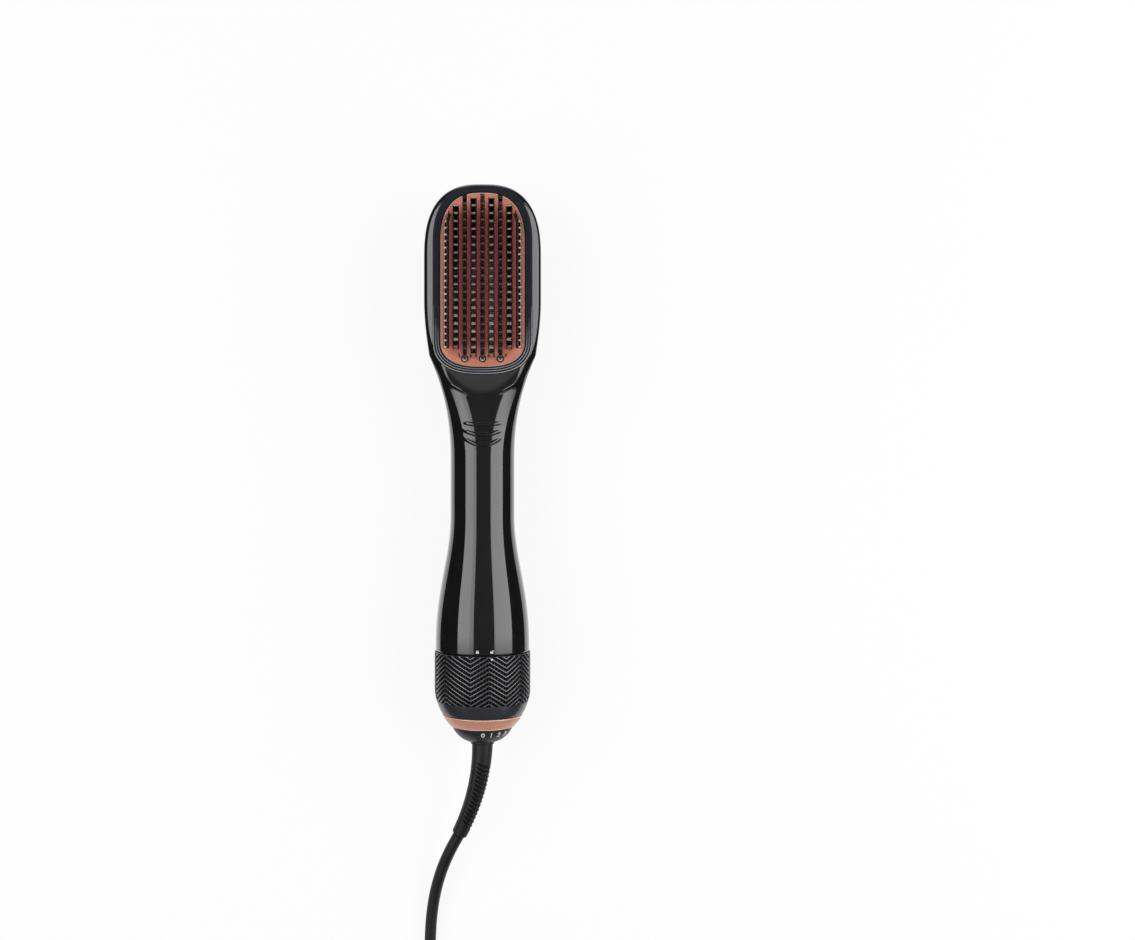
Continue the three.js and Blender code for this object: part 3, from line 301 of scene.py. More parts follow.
def cut_by(piece, shape):
    """Cuts a shape out of a piece."""
    cutter = new_object("cutter", mesh_of("cutter", shape))
    applied(piece, "BOOLEAN", object=cutter, operation="DIFFERENCE", solver="EXACT")
    bpy.data.objects.remove(cutter)


# Materials


def feed(tree, made, inputs):
    """Sets a node's inputs, or links those whose value is another node's output."""
    for key, value in inputs.items():
        if isinstance(value, bpy.types.NodeSocket):
            tree.links.new(value, made.inputs[key])
        else:
            made.inputs[key].default_value = value


def node(tree, kind, inputs=None, output=0, **settings):
    """Adds a shader node and gives one of its outputs."""
    made = tree.nodes.new("ShaderNode" + kind)
    for key, value in settings.items():
        setattr(made, key, value)
    feed(tree, made, inputs or {})
    return made.outputs[output]


def own_place(tree):
    return node(tree, "TexCoord", output="Object")


def noise(tree, place, scale, detail, roughness):
    return node(tree, "TexNoise", {"Vector": place, "Scale": scale, "Detail": detail,
                                   "Roughness": roughness})


def ramp(tree, value, start, end, low=0.0, high=1.0, soft=False):
    """Low before start and high after end, with a straight or soft slope between them."""
    return node(tree, "MapRange", {"Value": value, "From Min": start, "From Max": end, "To Min": low,
                                   "To Max": high}, interpolation_type="SMOOTHSTEP" if soft else "LINEAR")


def calc(tree, operation, *values):
    return node(tree, "Math", dict(enumerate(values)), operation=operation)


def mixed(tree, share, first, second):
    """A mix of two colours, each a plain (r, g, b) or a node's output."""
    first, second = ((*c, 1) if isinstance(c, tuple) else c for c in (first, second))
    return node(tree, "Mix", {"Factor": share, "A": first, "B": second}, "Result", data_type="RGBA")


def bumps(tree, height, strength, depth):
    return node(tree, "Bump", {"Height": height, "Strength": strength, "Distance": depth * MM})


def new_material(name):
    material = bpy.data.materials.new(name)
    material.use_nodes = True
    tree = material.node_tree
    return material, tree, tree.nodes["Principled BSDF"]


def surface(name, colour, second, roughness, spread=0.06, grain=900, bump=(0.02, 0.1), metallic=0.0,
            coat=0.0, coat_roughness=0.05, specular=0.5, stretch=(1, 1, 1), patch=60):
    """A procedural finish: two colours mixed in soft patches, varied roughness and a fine grain.

    The two parts of bump are the strength of the grain and its depth in millimetres.
    """
    material, tree, shader = new_material(name)
    place = node(tree, "Mapping", {"Vector": own_place(tree), "Scale": stretch})
    patches = noise(tree, place, patch, 4.0, 0.55)
    fine = noise(tree, place, grain, 3.0, 0.6)
    feed(tree, shader, {
        "Base Color": mixed(tree, ramp(tree, patches, 0.35, 0.7), colour, second),
        "Roughness": ramp(tree, fine, 0.3, 0.7, max(0.02, roughness - spread), roughness + spread),
        "Normal": bumps(tree, fine, *bump),
        "Metallic": metallic,
        "IOR": 1.5,
        "Specular IOR Level": specular,
        "Coat Weight": coat,
        "Coat Roughness": coat_roughness,
    })
    return material


def rgb(value):
    """Linear colour of an sRGB value such as 0xC8786A."""
    parts = [((value >> shift) & 255) / 255 for shift in (16, 8, 0)]
    return tuple(p / 12.92 if p <= 0.04045 else ((p + 0.055) / 1.055) ** 2.4 for p in parts)


gloss_black = surface("gloss_black", (0.0042, 0.0042, 0.0048), (0.0065, 0.0065, 0.0072), 0.085, 0.02,
                      2600, (0.012, 0.02), coat=1.0, coat_roughness=0.02, specular=0.3)
satin_black = surface("satin_black", (0.010, 0.011, 0.013), (0.016, 0.017, 0.02), 0.42, 0.08,
                      2200, (0.12, 0.06))
nylon_black = surface("nylon_black", (0.006, 0.006, 0.007), (0.012, 0.012, 0.013), 0.3, 0.07,
                      3000, (0.05, 0.04))
bezel_black = surface("bezel_black", (0.0055, 0.0065, 0.011), (0.008, 0.0095, 0.015), 0.52, 0.06,
                      3200, (0.2, 0.05), specular=0.22)
# Light grey for fine lines that are painted highlights on the edges of the bezel's steps and the neck's
# creases.
painted_highlight_grey = surface("painted_highlight_grey", (0.42, 0.425, 0.44), (0.30, 0.305, 0.32), 0.3, 0.06,
                    1500, (0.04, 0.03), metallic=0.25)
# Lighter copper for beads on copper edges, as painted highlights.
painted_highlight_copper = surface("painted_highlight_copper", rgb(0xEFC9B8), rgb(0xE2B09A), 0.3, 0.06, 1500, (0.04, 0.03),
                      metallic=0.2)
soft_black = surface("soft_black", (0.0055, 0.0055, 0.006), (0.009, 0.009, 0.0095), 0.46, 0.08,
                     1800, (0.16, 0.08), specular=0.38)
copper_trim = surface("copper_trim", rgb(0xCC957E), rgb(0xBF8870), 0.34, 0.06, 700, (0.06, 0.04),
                      metallic=0.2, stretch=(1, 9, 1), patch=90)
vent_cream = surface("vent_cream", rgb(0xF0DFC6), rgb(0xDDC9AC), 0.42, 0.08, 1500, (0.05, 0.04), patch=300)
side_pink = surface("side_pink", rgb(0xF2D8CC), rgb(0xE4BBA8), 0.42, 0.08, 1500, (0.05, 0.04), patch=300)
print_white = surface("print_white", (0.62, 0.62, 0.6), (0.5, 0.5, 0.49), 0.5, 0.08, 5000, (0.05, 0.02),
                      patch=900)
steel = surface("steel", (0.42, 0.43, 0.45), (0.34, 0.35, 0.37), 0.32, 0.08, bump=(0.05, 0.1), metallic=1.0,
                stretch=(1, 6, 1))
brass = surface("brass", rgb(0xC9A55C), rgb(0xB8924A), 0.3, 0.07, bump=(0.04, 0.1), metallic=1.0)
dark_iron = surface("dark_iron", (0.035, 0.034, 0.033), (0.06, 0.057, 0.054), 0.6, 0.1, 700, (0.2, 0.1),
                    metallic=0.6)
grey_plastic = surface("grey_plastic", (0.10, 0.105, 0.11), (0.13, 0.135, 0.14), 0.5, 0.07,
                       1600, (0.12, 0.06))
mica = surface("mica", rgb(0xC9B48C), rgb(0xB79E70), 0.5, 0.12, 260, (0.1, 0.1))
board_green = surface("board_green", (0.025, 0.10, 0.045), (0.035, 0.13, 0.06), 0.4, 0.08, 1200, (0.08, 0.1))
carbon = surface("carbon", (0.018, 0.018, 0.019), (0.03, 0.03, 0.032), 0.6, 0.1, 1500, (0.2, 0.1))
brown_wire = surface("brown_wire", (0.12, 0.04, 0.015), (0.15, 0.055, 0.02), 0.45, 0.06, 1500, (0.05, 0.1))
blue_wire = surface("blue_wire", (0.02, 0.06, 0.22), (0.03, 0.08, 0.27), 0.45, 0.06, 1500, (0.05, 0.1))


def heat_plate_finish():
    """Copper-coloured ceramic with painted shade: it darkens to maroon where the rows of bristles stand, for
    the shade among them.
    """
    material, tree, shader = new_material("copper_plate")
    place = own_place(tree)

    def band(axis, low, low_full, high_full, high):
        """1 between the full marks, 0 outside the others."""
        value = node(tree, "SeparateXYZ", {"Vector": place}, axis)
        rise = ramp(tree, value, low * MM, low_full * MM, soft=True)
        fall = ramp(tree, value, high_full * MM, high * MM, 1.0, 0.0, soft=True)
        return calc(tree, "MULTIPLY", rise, fall)

    # Painted shade: a mask over the rows of bristles, where the copper turns maroon.
    painted_bristle_shade = calc(tree, "MULTIPLY", band("X", -20.6, -17.0, 17.0, 20.6),
                  band("Y", 60.0, 72.0, 140.0, 154.0))
    patches = noise(tree, place, 180.0, 4.0, 0.6)
    fine = noise(tree, place, 2400.0, 3.0, 0.6)
    salmon = mixed(tree, patches, rgb(0xDC8F7C), rgb(0xCB7E64))
    maroon = mixed(tree, patches, rgb(0xA54A44), rgb(0x943F3A))
    feed(tree, shader, {
        "Base Color": mixed(tree, painted_bristle_shade, salmon, maroon),
        "Roughness": ramp(tree, fine, 0.0, 1.0, 0.26, 0.46),
        "Normal": bumps(tree, fine, 0.06, 0.04),
        "Metallic": 0.35,
    })
    return material


def sleeve_finish():
    """Satin ridges whose crests are lightened as a painted highlight, and dull grooves darkened as painted
    shade; the mesh carries both as attributes.
    """
    material, tree, shader = new_material("sleeve_black")
    place = own_place(tree)
    groove = node(tree, "Attribute", output="Fac", attribute_name="groove")
    ridge = node(tree, "Attribute", output="Fac", attribute_name="ridge")
    sunk = ramp(tree, groove, 0.05, 0.75, soft=True)
    patches = noise(tree, place, 120.0, 4.0, 0.6)
    fine = noise(tree, place, 2600.0, 3.0, 0.6)
    smooth_part = mixed(tree, patches, (0.016, 0.019, 0.025), (0.024, 0.027, 0.034))
    # Painted highlight: a lighter colour on the crests of the ridges.
    painted_crest_highlight = mixed(tree, ridge, smooth_part, (0.042, 0.044, 0.05))
    cover = ramp(tree, sunk, 0.0, 1.0, 1.0, 0.05)
    polish = ramp(tree, ridge, 0.0, 1.0, 0.2, 1.0)
    feed(tree, shader, {
        # Painted shade: the grooves and holes are near black by their depth.
        "Base Color": mixed(tree, sunk, painted_crest_highlight, (0.0006, 0.0007, 0.0009)),
        "Roughness": calc(tree, "MULTIPLY_ADD", sunk, 0.4, ramp(tree, fine, 0.0, 1.0, 0.24, 0.32)),
        "Normal": bumps(tree, fine, 0.1, 0.04),
        "Specular IOR Level": 0.45,
        "Coat Weight": calc(tree, "MULTIPLY", cover, polish),
        "Coat Roughness": 0.2,
        "Coat IOR": 1.95,
    })
    return material


copper_plate = heat_plate_finish()
sleeve_black = sleeve_finish()

# Camera: straight above the brush, which stands left of the middle of the picture.

CAMERA_HEIGHT = 768.0
CAMERA_Y = -13.0
FOCAL = 39.77
SENSOR = 36.0
PICTURE_WIDTH = 1135
SHIFT_X = 85
SHIFT_Y = 17


def make_camera():
    data = bpy.data.cameras.new("camera")
    data.sensor_width = SENSOR
    data.lens = FOCAL
    data.shift_x = SHIFT_X / PICTURE_WIDTH
    data.shift_y = SHIFT_Y / PICTURE_WIDTH
    data.clip_start = 0.01
    data.clip_end = 60
    camera = new_object("camera", data)
    camera.location = (0, CAMERA_Y * MM, CAMERA_HEIGHT * MM)
    bpy.context.scene.camera = camera


make_camera()

# Cord: from the strain relief down to the table, into a coil of two layers, and out to the plug.

CORD_RADIUS = 3.5
RELIEF_LENGTH = 58.0
RELIEF_SWAY = 14.0
RELIEF_DROOP = 9.0
CORD_X = -32.0
Y_COIL = -350.0
COIL_LOOPS = 6
COIL_OUTER = 51.5
COIL_PITCH = 7.5
COIL_STRAIGHT = 7.0
POINTS_IN_A_LOOP = 40
PLUG_RISE = 6.8
Y_PLUG = Y_COIL - 48
PLUG_X = CORD_X + 7
TOUCH = 0.3


def relief_line(t):
    """Middle line of the strain relief, from 0 at the dial to 1 where the bare cord starts."""
    t = np.asarray(t, float)
    return np.stack([-RELIEF_SWAY * t * t, Y_TAIL - RELIEF_LENGTH * t, Z_AXIS - RELIEF_DROOP * t * t],
                    axis=-1)


def catmull(points, steps):
    """Points on a centripetal curve through the given points, steps to a stretch."""
    points = [np.asarray(p, float) for p in points]
    ends = [2 * points[0] - points[1], *points, 2 * points[-1] - points[-2]]
    line = []
    for i in range(1, len(ends) - 2):
        around = ends[i - 1:i + 3]
        t = np.cumsum([0.0] + [np.linalg.norm(b - a) ** 0.5 for a, b in zip(around, around[1:])])
        for u in t[1] + (t[2] - t[1]) * np.arange(steps) / steps:
            level = around
            for spans in (((0, 1), (1, 2), (2, 3)), ((0, 2), (1, 3)), ((1, 2),)):
                level = [((t[b] - u) * p + (u - t[a]) * q) / (t[b] - t[a])
                         for (a, b), p, q in zip(spans, level, level[1:])]
            line += level
    return [*line, points[-1]]


def coil_points():
    """The coil spirals in on the table, climbs a layer and spirals out on top."""
    points = []
    half = COIL_LOOPS / 2
    for turns in np.linspace(0, COIL_LOOPS, COIL_LOOPS * POINTS_IN_A_LOOP + 1):
        radius = COIL_OUTER - COIL_PITCH * (half - abs(turns - half))
        layer = smooth((turns - half) / 0.5 + 0.5)
        turn = math.pi + 2 * math.pi * turns
        points.append((CORD_X + COIL_OUTER + radius * math.cos(turn), Y_COIL + radius * math.sin(turn),
                       CORD_RADIUS + COIL_PITCH * layer))
    return points


def cord_points():
    """Middle line of the cord: down to the table, round the coil and out to the plug."""
    heading = np.array([-2 * RELIEF_SWAY, -RELIEF_LENGTH, -2 * RELIEF_DROOP])
    start = relief_line(1.0) + heading / np.linalg.norm(heading) * TOUCH
    lead = [start, (-20.2, -232.8, 15.3), (-25.2, -246, 10.9), (-28.8, -260, 7.0), (-30.9, -274, 4.7),
            (-31.8, -288, 3.7), (CORD_X, -302, CORD_RADIUS), (CORD_X, -318, CORD_RADIUS),
            (CORD_X, -334, CORD_RADIUS), (CORD_X, Y_COIL + COIL_STRAIGHT, CORD_RADIUS)]
    drop = CORD_RADIUS + COIL_PITCH - PLUG_RISE
    y0, y1 = Y_COIL - COIL_STRAIGHT, Y_PLUG + TOUCH
    tail = [(CORD_X + (PLUG_X - CORD_X) * smooth(share), y0 + (y1 - y0) * share,
             PLUG_RISE + drop * (1 - smooth(share))) for share in np.linspace(0, 1, 7)]
    return catmull(lead, 6) + coil_points() + catmull(tail, 6)


def make_cord():
    line = np.array(cord_points()) * MM
    data = bpy.data.curves.new("power_cord", "CURVE")
    data.dimensions = "3D"
    data.bevel_depth = CORD_RADIUS * MM
    data.bevel_resolution = 4
    data.use_fill_caps = True
    spline = data.splines.new("POLY")
    spline.points.add(len(line) - 1)
    for point, place in zip(spline.points, line):
        point.co = (*place, 1)
    spline.use_smooth = True
    cord = link("power_cord", data, soft_black, "housing",
                ["cord_lead", "cord_coil", "cord_tail"])
    return cord, float(np.linalg.norm(np.diff(line, axis=0), axis=1).sum()), line[0]


power_cord, cord_length, cord_exit = make_cord()

# Strain relief: a collar, a plain root and then slots on alternate sides, as on a relief made to bend.

RELIEF_RADIUS = 6.2
RELIEF_END_RADIUS = 4.6
RELIEF_STEPS = 420
RELIEF_SIDES = 64
SLOT_COUNT = 29
SLOT_PITCH = 1.25
FIRST_SLOT = 15.0
SLOT_FACING = 130
SLOT_REACH = 66
SLOT_SLANT = 2.6
SLOT_DEPTH = 1.5
SLOT_HALF = 0.72
SLOT_FLANK = 0.3


def make_relief():
    share = np.linspace(0, 1, RELIEF_STEPS)[:, None]
    length = share * RELIEF_LENGTH
    depth = 0.0
    for k in range(SLOT_COUNT):
        facing = math.radians(SLOT_FACING - 180 * (k % 2))
        away = (circle(RELIEF_SIDES) - facing + np.pi) % (2 * np.pi) - np.pi
        reach = smooth((math.radians(SLOT_REACH) - np.abs(away)) / math.radians(10))
        centre = FIRST_SLOT + k * SLOT_PITCH + SLOT_SLANT * np.sin(away)
        width = smooth((SLOT_HALF - np.abs(length - centre)) / SLOT_FLANK)
        depth = np.maximum(depth, SLOT_DEPTH * width * reach)
    end = np.sqrt(np.clip(1 - np.clip(length - RELIEF_LENGTH + 1, 0, 1) ** 2, 0.35, 1))
    radii = (RELIEF_RADIUS + (RELIEF_END_RADIUS - RELIEF_RADIUS) * share) * end - depth
    body = add_piece("strain_relief_body", tube(relief_line(share[:, 0]), radii, RELIEF_SIDES), soft_black,
                     "soft_black", "strain_relief")
    flange = Y_TAIL + 16.1
    collar = lathe([(0.01, Y_TAIL - 2.0), (6.3, Y_TAIL - 2.0), (6.8, Y_TAIL - 1.8), (7.0, Y_TAIL - 1.3),
                    (7.0, Y_TAIL - 0.3), (5.6, Y_TAIL - 0.3), (5.6, flange), (7.8, flange),
                    (7.8, flange + 1.2), (0.01, flange + 1.2)], 64)
    return [body, add_piece("strain_relief_collar", collar, soft_black, "soft_black", "strain_relief",
                            angle=32, weld=0.002)]


# Plug: a flat moulded body with grip ribs and two pins.

PLUG_LENGTH = 38.0
PLUG_NECK = 5.0
PLUG_HALF = 13.0
PLUG_HALF_HEIGHT = 6.8
PLUG_SIDES = 64
PLUG_PIN_OFFSET = 9.3
RIBS_START = 0.5
RIBS_SPAN = 0.38
RIB_COUNT = 5
RIB_DEPTH = 0.55
# How far the plug has widened, from 0 at the cord to 1, at shares of its length.
PLUG_WIDENING = ((0, 0.03, 0.12, 0.22, 0.3, 0.4, 0.5, 0.58, 0.65, 0.75, 0.94, 0.98, 1.0),
                 (0, 0.01, 0.05, 0.16, 0.3, 0.54, 0.75, 0.9, 0.97, 1.0, 1.0, 0.97, 0.9))


def make_plug():
    share = np.linspace(0, 1, 90)
    widen = np.interp(share, *PLUG_WIDENING)
    widen[2:-2] = np.convolve(widen, np.ones(5) / 5, "valid")
    turn = circle(PLUG_SIDES)
    c, s = np.cos(turn), np.sin(turn)
    rings = []
    for a, w in zip(share, widen):
        groove = 0.0
        if RIBS_START < a < RIBS_START + RIBS_SPAN:
            groove = RIB_DEPTH * max(0.0, math.sin((a - RIBS_START) / RIBS_SPAN * math.pi * RIB_COUNT)) * w
        power = 1 / (1 + w)
        x = (PLUG_NECK + (PLUG_HALF - PLUG_NECK) * w) * np.abs(c) ** power
        x = np.sign(c) * np.maximum(0, x - groove * np.abs(c) ** 3)
        z = (PLUG_NECK + (PLUG_HALF_HEIGHT - PLUG_NECK) * w) * np.sign(s) * np.abs(s) ** power
        y = np.full(PLUG_SIDES, Y_PLUG - PLUG_LENGTH * a)
        rings.append(np.column_stack([PLUG_X + x, y, PLUG_RISE + z]))
    pieces = [add_piece("plug_shell", closed_rings(np.array(rings)), soft_black, "soft_black", "plug_body")]
    pin = np.array([(0, 2.0), (9.0, 2.0), (9.2, 1.85), (17.2, 1.85), (18.3, 1.6), (18.8, 1.1), (19.0, 0.5)])
    for side, name in ((-1, "left"), (1, "right")):
        x = PLUG_X + side * PLUG_PIN_OFFSET
        centres = [(x, Y_PLUG - PLUG_LENGTH - TOUCH - y, PLUG_RISE) for y in pin[:, 0]]
        pieces.append(add_piece("plug_contact_" + name, tube(centres, pin[:, 1], 28), brass, "brass",
                                "plug_pin_" + name, angle=30))
    return pieces


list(make_relief())
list(make_plug())


# Outline of the body


def tip_share(y, span, power, inset):
    """How wide the head still is at y, from 1 to 0 over the last span before its tip."""
    t = np.clip((y - (Y_TIP - span)) / (span - inset), 0, 1)
    return np.maximum(0.0, 1 - t ** power) ** (1 / power)


def outline_width(y):
    """Half-width of the body at y, before the tip rounds it off."""
    s = np.clip((y - Y_BODY) / BELL_LENGTH, 0, 1) ** BELL_POWER
    bell = WAIST_RADIUS + (REAR_RADIUS - WAIST_RADIUS) * (1 + np.cos(np.pi * s)) / 2
    flare = np.clip((y - Y_NECK) / NECK_LENGTH, 0, 1) ** NECK_POWER
    neck = WAIST_RADIUS + (KINK_HALF - WAIST_RADIUS) * flare
    swell = np.sin(np.pi / 2 * np.clip((y - Y_KINK) / HEAD_SWELL, 0, 1))
    head = KINK_HALF + (HEAD_HALF - KINK_HALF) * swell
    return np.where(y <= Y_WAIST, bell, np.where(y <= Y_KINK, neck, head))


def section_at(y, inset=0.0):
    """The body's section at y: a circle in the handle, two flatter halves in the head."""
    lift = smooth((y - Y_NECK) / LIFT_LENGTH)
    handle = outline_width(np.minimum(y, Y_NECK))
    middle = Z_AXIS + (Z_EDGE - Z_AXIS) * lift
    top = (Z_AXIS + handle) * (1 - lift) + Z_FACE * lift
    bottom = (Z_AXIS - handle) * (1 - lift) - REST_DEPTH * lift
    return {
        "middle": middle,
        "width": (outline_width(y) - inset) * tip_share(y, HEAD_ROUND, TIP_POWER, inset),
        "above": (top - middle - inset) * tip_share(y, FACE_ROUND, EDGE_POWER, inset),
        "below": (middle - bottom - inset) * tip_share(y, BACK_ROUND, EDGE_POWER, inset),
        "face_power": 2 + (FACE_POWER - 2) * lift,
        "back_power": 2 + (BACK_POWER - 2) * lift,
    }


def half_skin(side, inset, y, turn):
    """Grid of points on the outline above (side 1) or below (side -1) the parting line."""
    s = section_at(y, inset)
    height = np.maximum(0, s["above" if side > 0 else "below"] - PARTING)[:, None]
    power = s["face_power" if side > 0 else "back_power"][:, None]
    c, up = np.cos(turn)[None], np.clip(np.sin(turn), 0, 1)[None]
    x = s["width"][:, None] * np.sign(c) * np.abs(c) ** (2 / power)
    z = s["middle"][:, None] + side * (PARTING + height * up ** (2 / power))
    return np.stack([x, np.repeat(y[:, None], len(turn), axis=1), z], axis=-1)


def face_height(x, y):
    """Height of the front surface above the table at x, y."""
    s = section_at(np.asarray(y, float))
    power = s["face_power"]
    share = np.clip(np.abs(x) / np.maximum(s["width"], 1e-6), 0, 1)
    return s["middle"] + s["above"] * (1 - share ** power) ** (1 / power)


# Shells. The creases of the neck run from their inner to their outer end, each an (x, y).

CREASE_IN = (11.6, 41.6)
CREASE_OUT = (18.4, 45.5)
CREASE_SLOPE = (CREASE_OUT[1] - CREASE_IN[1]) / (CREASE_OUT[0] - CREASE_IN[0])
LEDGE_RISE = 0.8
RIDGES = [(Y_NECK + 8.1, 4.6), (Y_NECK + 13.9, 3.0), (Y_NECK + 19.7, 1.55)]
RIDGE_HALF = 11.0
RIDGE_WIDTH = 1.15
RIDGE_FLANK = 0.65
RIDGE_HEIGHT = 0.6
EDGE_CROWDING = 0.62


def raised_marks(x, y):
    """Height of the thumb ridges."""
    share = np.abs(x) / RIDGE_HALF
    ends = smooth((1.04 - share) / 0.3)
    away = [np.abs(y - centre - dip * share ** 2) for centre, dip in RIDGES]
    return sum(RIDGE_HEIGHT * ends * smooth((RIDGE_WIDTH - gap) / RIDGE_FLANK) for gap in away)


def shoulder(x, y, z):
    """Raises the neck to a flatter ledge above the creases, up to the rim of the head."""
    s = section_at(y)
    line = CREASE_IN[1] + CREASE_SLOPE * np.maximum(np.abs(x) - CREASE_IN[0], -3.0)
    run_out = 1.5 + 7.0 * smooth((np.abs(x) - CREASE_OUT[0] + 2.4) / 5.0)
    weight = smooth((y - line) / run_out + 0.5) * smooth((78 - y) / 24)
    share = np.abs(x) / np.maximum(s["width"], 1e-6)
    edge = smooth((0.98 - share) / 0.22)
    return LEDGE_RISE * weight * edge * (s["middle"] + s["above"] - z)


def body_stations():
    """Places along the body where a section is drawn, closest on the ridges and creases."""
    y_round = Y_TIP - HEAD_ROUND
    return np.concatenate([
        [Y_BODY, Y_BODY + 0.4], np.arange(Y_BODY + 1.0, 6.0, 1.5), np.arange(6.0, 31.0, 0.22),
        np.arange(31.0, 50.0, 0.35), np.arange(50.0, y_round, 1.2),
        y_round + HEAD_ROUND * np.sin(np.pi / 2 * np.linspace(0, 1, 70)[1:])])


def arc_turns(steps):
    """Angles over half a turn, crowded towards its ends."""
    i = np.linspace(0, 1, steps)
    return np.pi * i - EDGE_CROWDING * np.sin(2 * np.pi * i) / 2


def make_shell(side, name, replaced):
    y = body_stations()
    turn = arc_turns(121)
    outer = half_skin(side, 0.0, y, turn)
    x, _, z = outer.transpose(2, 0, 1)
    if side > 0:
        z += shoulder(x, outer[..., 1], z)
        z += raised_marks(x, outer[..., 1])
    else:
        z[:] = (z + np.sqrt(z * z + REST_SOFTNESS)) / 2
    axis = np.array([0, 0, Z_AXIS])
    outer[0] = axis + (outer[0] - axis) * (REAR_EDGE_SHARE, 1, REAR_EDGE_SHARE)
    start = Y_TIP - HEAD_ROUND
    inner_y = np.where(y > start, start + (y - start) * (HEAD_ROUND - SHELL_WALL) / HEAD_ROUND, y)
    inner = half_skin(side, SHELL_WALL, inner_y, turn)
    rows, columns = outer.shape[:2]
    count = rows * columns
    faces = grid_faces(rows, columns) + grid_faces(rows, columns, start=count)
    rim = [[s * columns + i for s in range(rows)] for i in (0, columns - 1)] + [range(columns)]
    faces += [[a, b, b + count, a + count] for line in rim for a, b in zip(line, line[1:])]
    points = np.concatenate([outer.reshape(-1, 3), inner.reshape(-1, 3)])
    return add_piece(name, (points, faces), gloss_black, "gloss_black", replaced, weld=0.0008)


def pad_outline(inset, steps=48):
    """Points round the rounded opening of the head, drawn in by inset, the same count for any inset."""
    half, low, high = PAD_HALF - inset, PAD_LOW_ROUND - inset, PAD_TIP_ROUND - inset
    power = 2 / PAD_POWER
    i = np.linspace(0, 1, steps)
    turn = np.pi / 2 * (i - 0.5 * np.sin(2 * np.pi * i) / (2 * np.pi))
    c, s = np.clip(np.cos(turn), 0, 1) ** power, np.clip(np.sin(turn), 0, 1) ** power
    lower = np.column_stack([half * s, Y_PAD_LOW + inset + low * (1 - c)])
    upper = np.column_stack([half * c, Y_PAD_HIGH - inset - high * (1 - s)])
    right = np.vstack([lower, np.linspace(lower[-1], upper[0], 24)[1:-1], upper])
    return np.vstack([right, right[1:-1][::-1] * (-1, 1)])


def pad_ends(x, inset):
    """Lowest and highest y of the pad at x, drawn in by inset."""
    share = (1 - min(1.0, abs(x) / (PAD_HALF - inset)) ** PAD_POWER) ** (1 / PAD_POWER)
    return (Y_PAD_LOW + inset + (PAD_LOW_ROUND - inset) * (1 - share),
            Y_PAD_HIGH - inset - (PAD_TIP_ROUND - inset) * (1 - share))


front = make_shell(1, "front_cover", "front_shell")
cut_by(front, prism(pad_outline(-0.3), Z_EDGE + 2, Z_FACE + 10))
shade(front.data, 40)
make_shell(-1, "back_cover", "back_shell")

# Bezel: a flat matte rim whose lower end goes down in three nested steps.

STEP_INSETS = (1.15, 2.15, 3.15)
STEP_DROP = 0.3
# Each rim line: inset, radius, the y where it ends, and its drop at the bottom of the rim.
RIM_LINES = ((0.3, 0.28, 92.0, 0.88), (1.68, 0.22, 84.0, 0.58), (2.98, 0.22, 80.0, 0.28))


def step_share(y):
    """How far the rim's steps go down at y, from 0 at its sides to 1 at its lower end."""
    return smooth((82.0 - y) / 22.0)


def make_bezel():
    flat = [(inset, Z_BEZEL) for inset in np.arange(0.7, 3.7, 0.1)]
    profile = [(0.0, Z_BEZEL_LOW), (0.0, Z_BEZEL - 1.6), (0.0, Z_BEZEL - 0.6), (0.15, Z_BEZEL - 0.15),
               (0.5, Z_BEZEL), *flat, (3.78, Z_BEZEL - 0.04), (3.88, Z_BEZEL - 0.2), (3.9, Z_BEZEL - 0.5),
               (3.9, Z_PLATE_LOW + 0.1), (3.9, Z_PLATE_LOW - 0.3), (BORDER + LIP, Z_PLATE_LOW - 0.3),
               (BORDER + LIP, Z_BEZEL_LOW)]
    rings = []
    for inset, height in profile:
        outline = pad_outline(inset)
        drop = sum(STEP_DROP * smooth((edge - inset) / 0.16) for edge in STEP_INSETS)
        level = height - drop * step_share(outline[:, 1]) * (height > Z_BEZEL - 1.0)
        rings.append(np.column_stack([outline, level]))
    add_piece("bezel_rim", looped_rings(np.array(rings)), bezel_black, "bezel_black", "head_bezel",
              angle=38, weld=0.001)


def lower_arc(inset, y_end):
    """Points of the pad's outline below y_end, from its left side round to its right."""
    outline = pad_outline(inset, 72)
    right = outline[:np.argmax(outline[:, 1] > y_end)]
    return np.vstack([right[:0:-1] * (-1, 1), right])


def make_rim_lines():
    """Three fine nested light lines on the steps of the rim, which fade out up its corners: painted
    highlights on the step edges.
    """
    shapes = []
    for inset, radius, y_end, drop in RIM_LINES:
        flat = lower_arc(inset, y_end)
        level = Z_BEZEL + 0.02 - drop * step_share(flat[:, 1])
        fade = np.clip((y_end - flat[:, 1]) / (y_end - 55.0), 0.02, 1) ** 0.6
        shapes.append(tube(np.column_stack([flat, level]), radius * fade, 12))
    add_piece("rim_lines", joined(shapes), painted_highlight_grey, "bezel_black", "head_bezel", angle=60)


def make_crease_lines():
    """A fine light line on each crease of the neck, fading out at both ends, as a painted highlight."""
    share = np.linspace(0, 1, 24)
    x = CREASE_IN[0] + (CREASE_OUT[0] - CREASE_IN[0]) * share
    y = CREASE_IN[1] + (CREASE_OUT[1] - CREASE_IN[1]) * share + 0.9
    z = face_height(x, y)
    z = z + shoulder(x, y, z)
    radii = 0.16 * np.sin(np.pi * np.clip(share, 0.02, 0.98)) ** 0.5
    right = tube(np.column_stack([x, y, z]), radii, 12)
    add_piece("crease_lines", both_sides(right), painted_highlight_grey, "gloss_black", "front_shell", angle=60)


